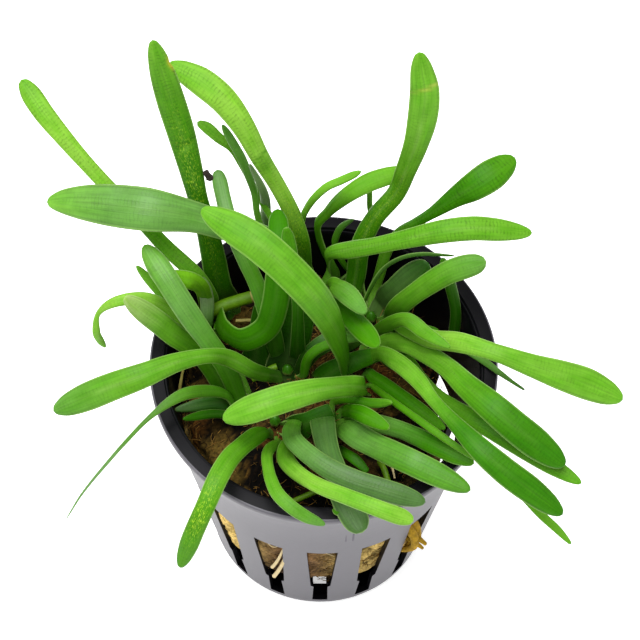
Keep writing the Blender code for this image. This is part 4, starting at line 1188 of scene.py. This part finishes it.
@dataclass
class NetPot:
    """The net pot: a thin turned shell with a rim, windows round its wall and slots in its floor."""

    effects: SharedEffects
    height: float = 50.0
    rim_radius: float = 26.5
    rim_inner: float = 24.3
    rim_thickness: float = 1.3
    wall_top: float = 25.2
    wall_foot: float = 18.0
    wall: float = 0.9
    floor: float = 1.0
    steps: int = 192
    windows: int = 16
    slots: int = 8
    turn: float = math.radians(1.8)
    outside: RoughFinish = RoughFinish("pot_wall", (67, 64, 72), 0.42, 0.9, 0.1, 0.08, 0.4)
    # A darker, duller copy of the wall's plastic: painted shade for the pot's inside and rim top.
    inside: RoughFinish = RoughFinish("pot_inside", (9, 8, 12), 0.42, 0.7, 0.15, 0.1, 0.08)

    def wall_radius(self, height: float) -> float:
        """Outer radius of the wall at a height."""
        return self.wall_foot + (self.wall_top - self.wall_foot) * height / self.height

    def profile(self) -> list[tuple[float, float]]:
        """The half section, from the middle of the floor up the inside and down the outside."""
        lip = self.height - self.rim_thickness
        inside = self.wall_radius(self.height - 0.5) - self.wall
        return [
            (0.0, self.floor),
            (self.wall_radius(self.floor) - self.wall - 0.5, self.floor),
            (self.wall_radius(self.floor) - self.wall - 0.12, self.floor + 0.12),
            (self.wall_radius(self.floor + 0.5) - self.wall, self.floor + 0.5),
            *((self.wall_radius(level) - self.wall, level) for level in (1.8, 6.0, 10.0, 16.0, 22.0, 29.0, 34.0)),
            (inside - 0.5, self.height - 1.4),
            (inside - 0.32, self.height - 0.62),
            (inside - 0.18, self.height - 0.5),
            (self.rim_inner - 0.1, self.height - 0.5),
            (self.rim_inner, self.height - 0.42),
            (self.rim_inner, self.height - 0.12),
            (self.rim_inner + 0.12, self.height),
            (self.rim_radius - 0.3, self.height),
            (self.rim_radius - 0.1, self.height - 0.08),
            (self.rim_radius, self.height - 0.3),
            (self.rim_radius - 0.05, lip + 0.15),
            (self.rim_radius - 0.3, lip - 0.6),
            *((self.wall_radius(level) + ease(36, 49, level) * 0.7, level) for level in (46.0, 42.0, 38.0)),
            *((self.wall_radius(level), level) for level in (34.0, 29.0, 22.0, 16.0, 10.0, 6.0, 1.8, 0.5)),
            (self.wall_radius(0.0) - 0.15, 0.12),
            (self.wall_foot - 0.5, 0.0),
            (0.0, 0.0),
        ]

    def build(self) -> bpy.types.Object:
        """Turn the shell, cut it, and shade it smooth with its sharp edges kept."""
        shape = bmesh.new()
        points = [shape.verts.new((radius * MM, 0, height * MM)) for radius, height in self.profile()]
        edges = [shape.edges.new(pair) for pair in zip(points, points[1:])]
        bmesh.ops.spin(
            shape, geom=points + edges, cent=(0, 0, 0), axis=(0, 0, 1), angle=2 * math.pi,
            steps=self.steps, use_merge=True)
        bmesh.ops.remove_doubles(shape, verts=shape.verts, dist=WELD)
        bmesh.ops.recalc_face_normals(shape, faces=shape.faces)
        pot = piece_from("pot_shell", shape)
        cutters = bpy.data.collections.new("pot_cutters")
        bpy.context.scene.collection.children.link(cutters)
        for index in range(self.windows):
            self._cutter(self._window(), 2 * math.pi * index / self.windows, cutters)
        for index in range(self.slots):
            self._cutter(self._slot(), 2 * math.pi * index / self.slots, cutters)
        cut = pot.modifiers.new("cut", "BOOLEAN")
        cut.solver = "EXACT"
        cut.operand_type = "COLLECTION"
        cut.collection = cutters
        bpy.context.view_layer.update()
        mesh = bpy.data.meshes.new_from_object(pot.evaluated_get(bpy.context.evaluated_depsgraph_get()))
        pot.modifiers.clear()
        pot.data = mesh
        for cutter in list(cutters.objects):
            bpy.data.objects.remove(cutter)
        bpy.data.collections.remove(cutters)
        mesh.polygons.foreach_set("use_smooth", [True] * len(mesh.polygons))
        mesh.set_sharp_from_angle(angle=math.radians(38))
        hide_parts("net_pot")
        dress(pot, self.outside.build(self.effects))
        # The inside and the rim top take the painted-shade copy of the plastic.
        mesh.materials.append(self.inside.build(self.effects))
        for face in mesh.polygons:
            face.material_index = int(self._in_painted_shade(face))
        LOG.info("pot: %d faces", len(mesh.polygons))
        return pot

    def _in_painted_shade(self, face: bpy.types.MeshPolygon) -> bool:
        """Whether a face looks inward or up, or lies within the wall, and so takes the pot's painted shade."""
        flat = math.hypot(face.center.x, face.center.y)
        outward = (face.normal.x * face.center.x + face.normal.y * face.center.y) / max(flat, WELD)
        level = face.center.z / MM
        return outward < 0.3 or flat / MM < self.wall_radius(level) - 0.25

    @staticmethod
    def _window() -> bmesh.types.BMesh:
        """A window's outline, pulled out through the wall."""
        half = ((1.25, 1.8), (1.15, 9.6), (1.62, 10.2), (2.42, 29.0))
        outline = list(half) + [(-side, height) for side, height in reversed(half)]
        shape = bmesh.new()
        corners = [shape.verts.new((14.0, side, height)) for side, height in outline]
        face = bmesh.ops.contextual_create(shape, geom=corners)["faces"]
        grown = bmesh.ops.extrude_face_region(shape, geom=face)["geom"]
        moved = [part for part in grown if isinstance(part, bmesh.types.BMVert)]
        bmesh.ops.translate(shape, verts=moved, vec=(14.0, 0, 0))
        return shape

    @staticmethod
    def _slot() -> bmesh.types.BMesh:
        """A slot's block, through the floor."""
        shape = bmesh.new()
        place = Matrix.Translation((11.75, 0, 0.5)) @ Matrix.Diagonal((6.5, 2.2, 3.0, 1))
        bmesh.ops.create_cube(shape, size=1.0, matrix=place)
        return shape

    def _cutter(self, shape: bmesh.types.BMesh, angle: float, into: bpy.types.Collection) -> None:
        """Place a cutter round the pot."""
        place = Matrix.Scale(MM, 4) @ Matrix.Rotation(angle - math.pi / 2 + self.turn, 4, "Z")
        bmesh.ops.recalc_face_normals(shape, faces=shape.faces)
        bmesh.ops.transform(shape, matrix=place, verts=shape.verts)
        mesh = bpy.data.meshes.new("cutter")
        shape.to_mesh(mesh)
        shape.free()
        into.objects.link(bpy.data.objects.new("cutter", mesh))



@dataclass
class Crowns:
    """The crowns: ribbed pale bases that the leaves grow out of."""

    effects: SharedEffects
    finish: RoughFinish = RoughFinish("crown_skin", (150, 180, 80), 0.45, 0.9, 0.3, 0.2, 0.5, True)

    def build(self) -> int:
        """Make a fine crown for each CAD one, and give back how many there are."""
        material = self.finish.build(self.effects)
        names = sorted(name for name in frame["nodes"] if name.startswith("crown_"))
        for name in names:
            low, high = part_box(name)
            middle, size = (low + high) / 2, (high - low) / 2
            shape = bmesh.new()
            bmesh.ops.create_uvsphere(shape, u_segments=60, v_segments=30, radius=1.0)
            tone = shape.verts.layers.float_color.new("tone")
            for vert in shape.verts:
                angle = math.atan2(vert.co.y, vert.co.x)
                rise = vert.co.z
                rib = 0.86 + 0.14 * abs(math.cos(2.5 * angle + 1.2 * rise))
                spread = rib * (0.88 - 0.3 * max(rise, 0.0))
                vert.co = middle + Vector((vert.co.x * size.x * spread, vert.co.y * size.y * spread, (0.55 * rise - 0.45) * size.z))
                share = min(1.0, max(0.0, 0.8 + 0.9 * rise))
                pale, green = np.array(linear((170, 168, 96))), Tone.DEEP.rgb()
                vert[tone] = (*(pale + (green - pale) * share), 1.0)
            piece = piece_from("fine_" + name, shape)
            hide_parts(name)
            dress(piece, material)
        LOG.info("crowns: %d", len(names))
        return len(names)



@dataclass
class Studio:
    """The floor, the soft lights and the camera at the photograph's angle."""

    camera_place: Point = (0.0, -169.68, 356.12)
    rim_height: float = 50.0
    yaw: float = math.radians(-0.13)
    pitch: float = math.radians(1.06)
    roll: float = math.radians(1.6)
    focal_pixels: float = 2303.0
    frame_pixels: float = 640.0
    sensor: float = 36.0

    def build(self) -> None:
        """Set up the whole studio."""
        self._floor()
        self._lights()
        self._camera()
        bpy.context.scene.view_settings.view_transform = "Standard"
        bpy.context.scene.view_settings.look = "None"
        LOG.info("studio ready")

    @staticmethod
    def _floor() -> None:
        """A plain pale floor."""
        shape = bmesh.new()
        bmesh.ops.create_grid(shape, x_segments=2, y_segments=2, size=1.5)
        mesh = bpy.data.meshes.new("floor")
        shape.to_mesh(mesh)
        shape.free()
        floor = bpy.data.objects.new("floor", mesh)
        bpy.context.scene.collection.objects.link(floor)
        material = bpy.data.materials.new("floor_paint")
        material.use_nodes = True
        shader = material.node_tree.nodes["Principled BSDF"]
        shader.inputs["Base Color"].default_value = (0.92, 0.92, 0.92, 1.0)
        shader.inputs["Emission Color"].default_value = (1.0, 1.0, 1.0, 1.0)
        shader.inputs["Emission Strength"].default_value = 0.55
        shader.inputs["Roughness"].default_value = 0.9
        shader.inputs["Specular IOR Level"].default_value = 0.1
        mesh.materials.append(material)

    def _lights(self) -> None:
        """An even white surround, and a large soft light from above and behind."""
        world = bpy.data.worlds.new("surround")
        bpy.context.scene.world = world
        world.use_nodes = True
        surround = world.node_tree.nodes["Background"]
        surround.inputs[0].default_value = (1.0, 1.0, 1.0, 1.0)
        surround.inputs[1].default_value = 0.7
        self._area("key_light", Vector((-0.15, 0.05, 1.0)), 0.8, 15.0)

    @staticmethod
    def _area(name: str, place: Vector, size: float, watts: float) -> None:
        """A square area light that faces the plant."""
        light = bpy.data.lights.new(name, "AREA")
        light.size = size
        light.energy = watts
        holder = bpy.data.objects.new(name, light)
        holder.location = place
        holder.rotation_euler = (Vector((0, 0, 0.05)) - place).to_track_quat("-Z", "Y").to_euler()
        bpy.context.scene.collection.objects.link(holder)

    def _camera(self) -> None:
        """The camera, turned off its aim by a small yaw, pitch and roll."""
        place = Vector(self.camera_place) * MM
        ahead = (Vector((0, 0, self.rim_height * MM)) - place).normalized()
        right = ahead.cross(Vector((0, 0, 1))).normalized()
        up = right.cross(ahead)
        ahead = (ahead + right * math.tan(self.yaw) + up * math.tan(self.pitch)).normalized()
        right = ahead.cross(Vector((0, 0, 1))).normalized()
        up = right.cross(ahead)
        side = right * math.cos(self.roll) + up * math.sin(self.roll)
        top = up * math.cos(self.roll) - right * math.sin(self.roll)
        data = bpy.data.cameras.new("camera")
        data.sensor_width = self.sensor
        data.lens = self.focal_pixels * self.sensor / self.frame_pixels
        camera = bpy.data.objects.new("camera", data)
        camera.matrix_world = Matrix((side, top, -ahead)).transposed().to_4x4()
        camera.location = place
        bpy.context.scene.collection.objects.link(camera)
        bpy.context.scene.camera = camera


def main() -> None:
    """Build each part of the plant and the studio, in order."""
    logging.basicConfig(level=logging.INFO, format="%(message)s")
    effects = SharedEffects()
    NetPot(effects).build()
    WoolPlug(effects).build()
    Crowns(effects).build()
    Foliage(effects).build()
    LooseThings(effects).build()
    Studio().build()


if __name__ == "__main__":
    main()
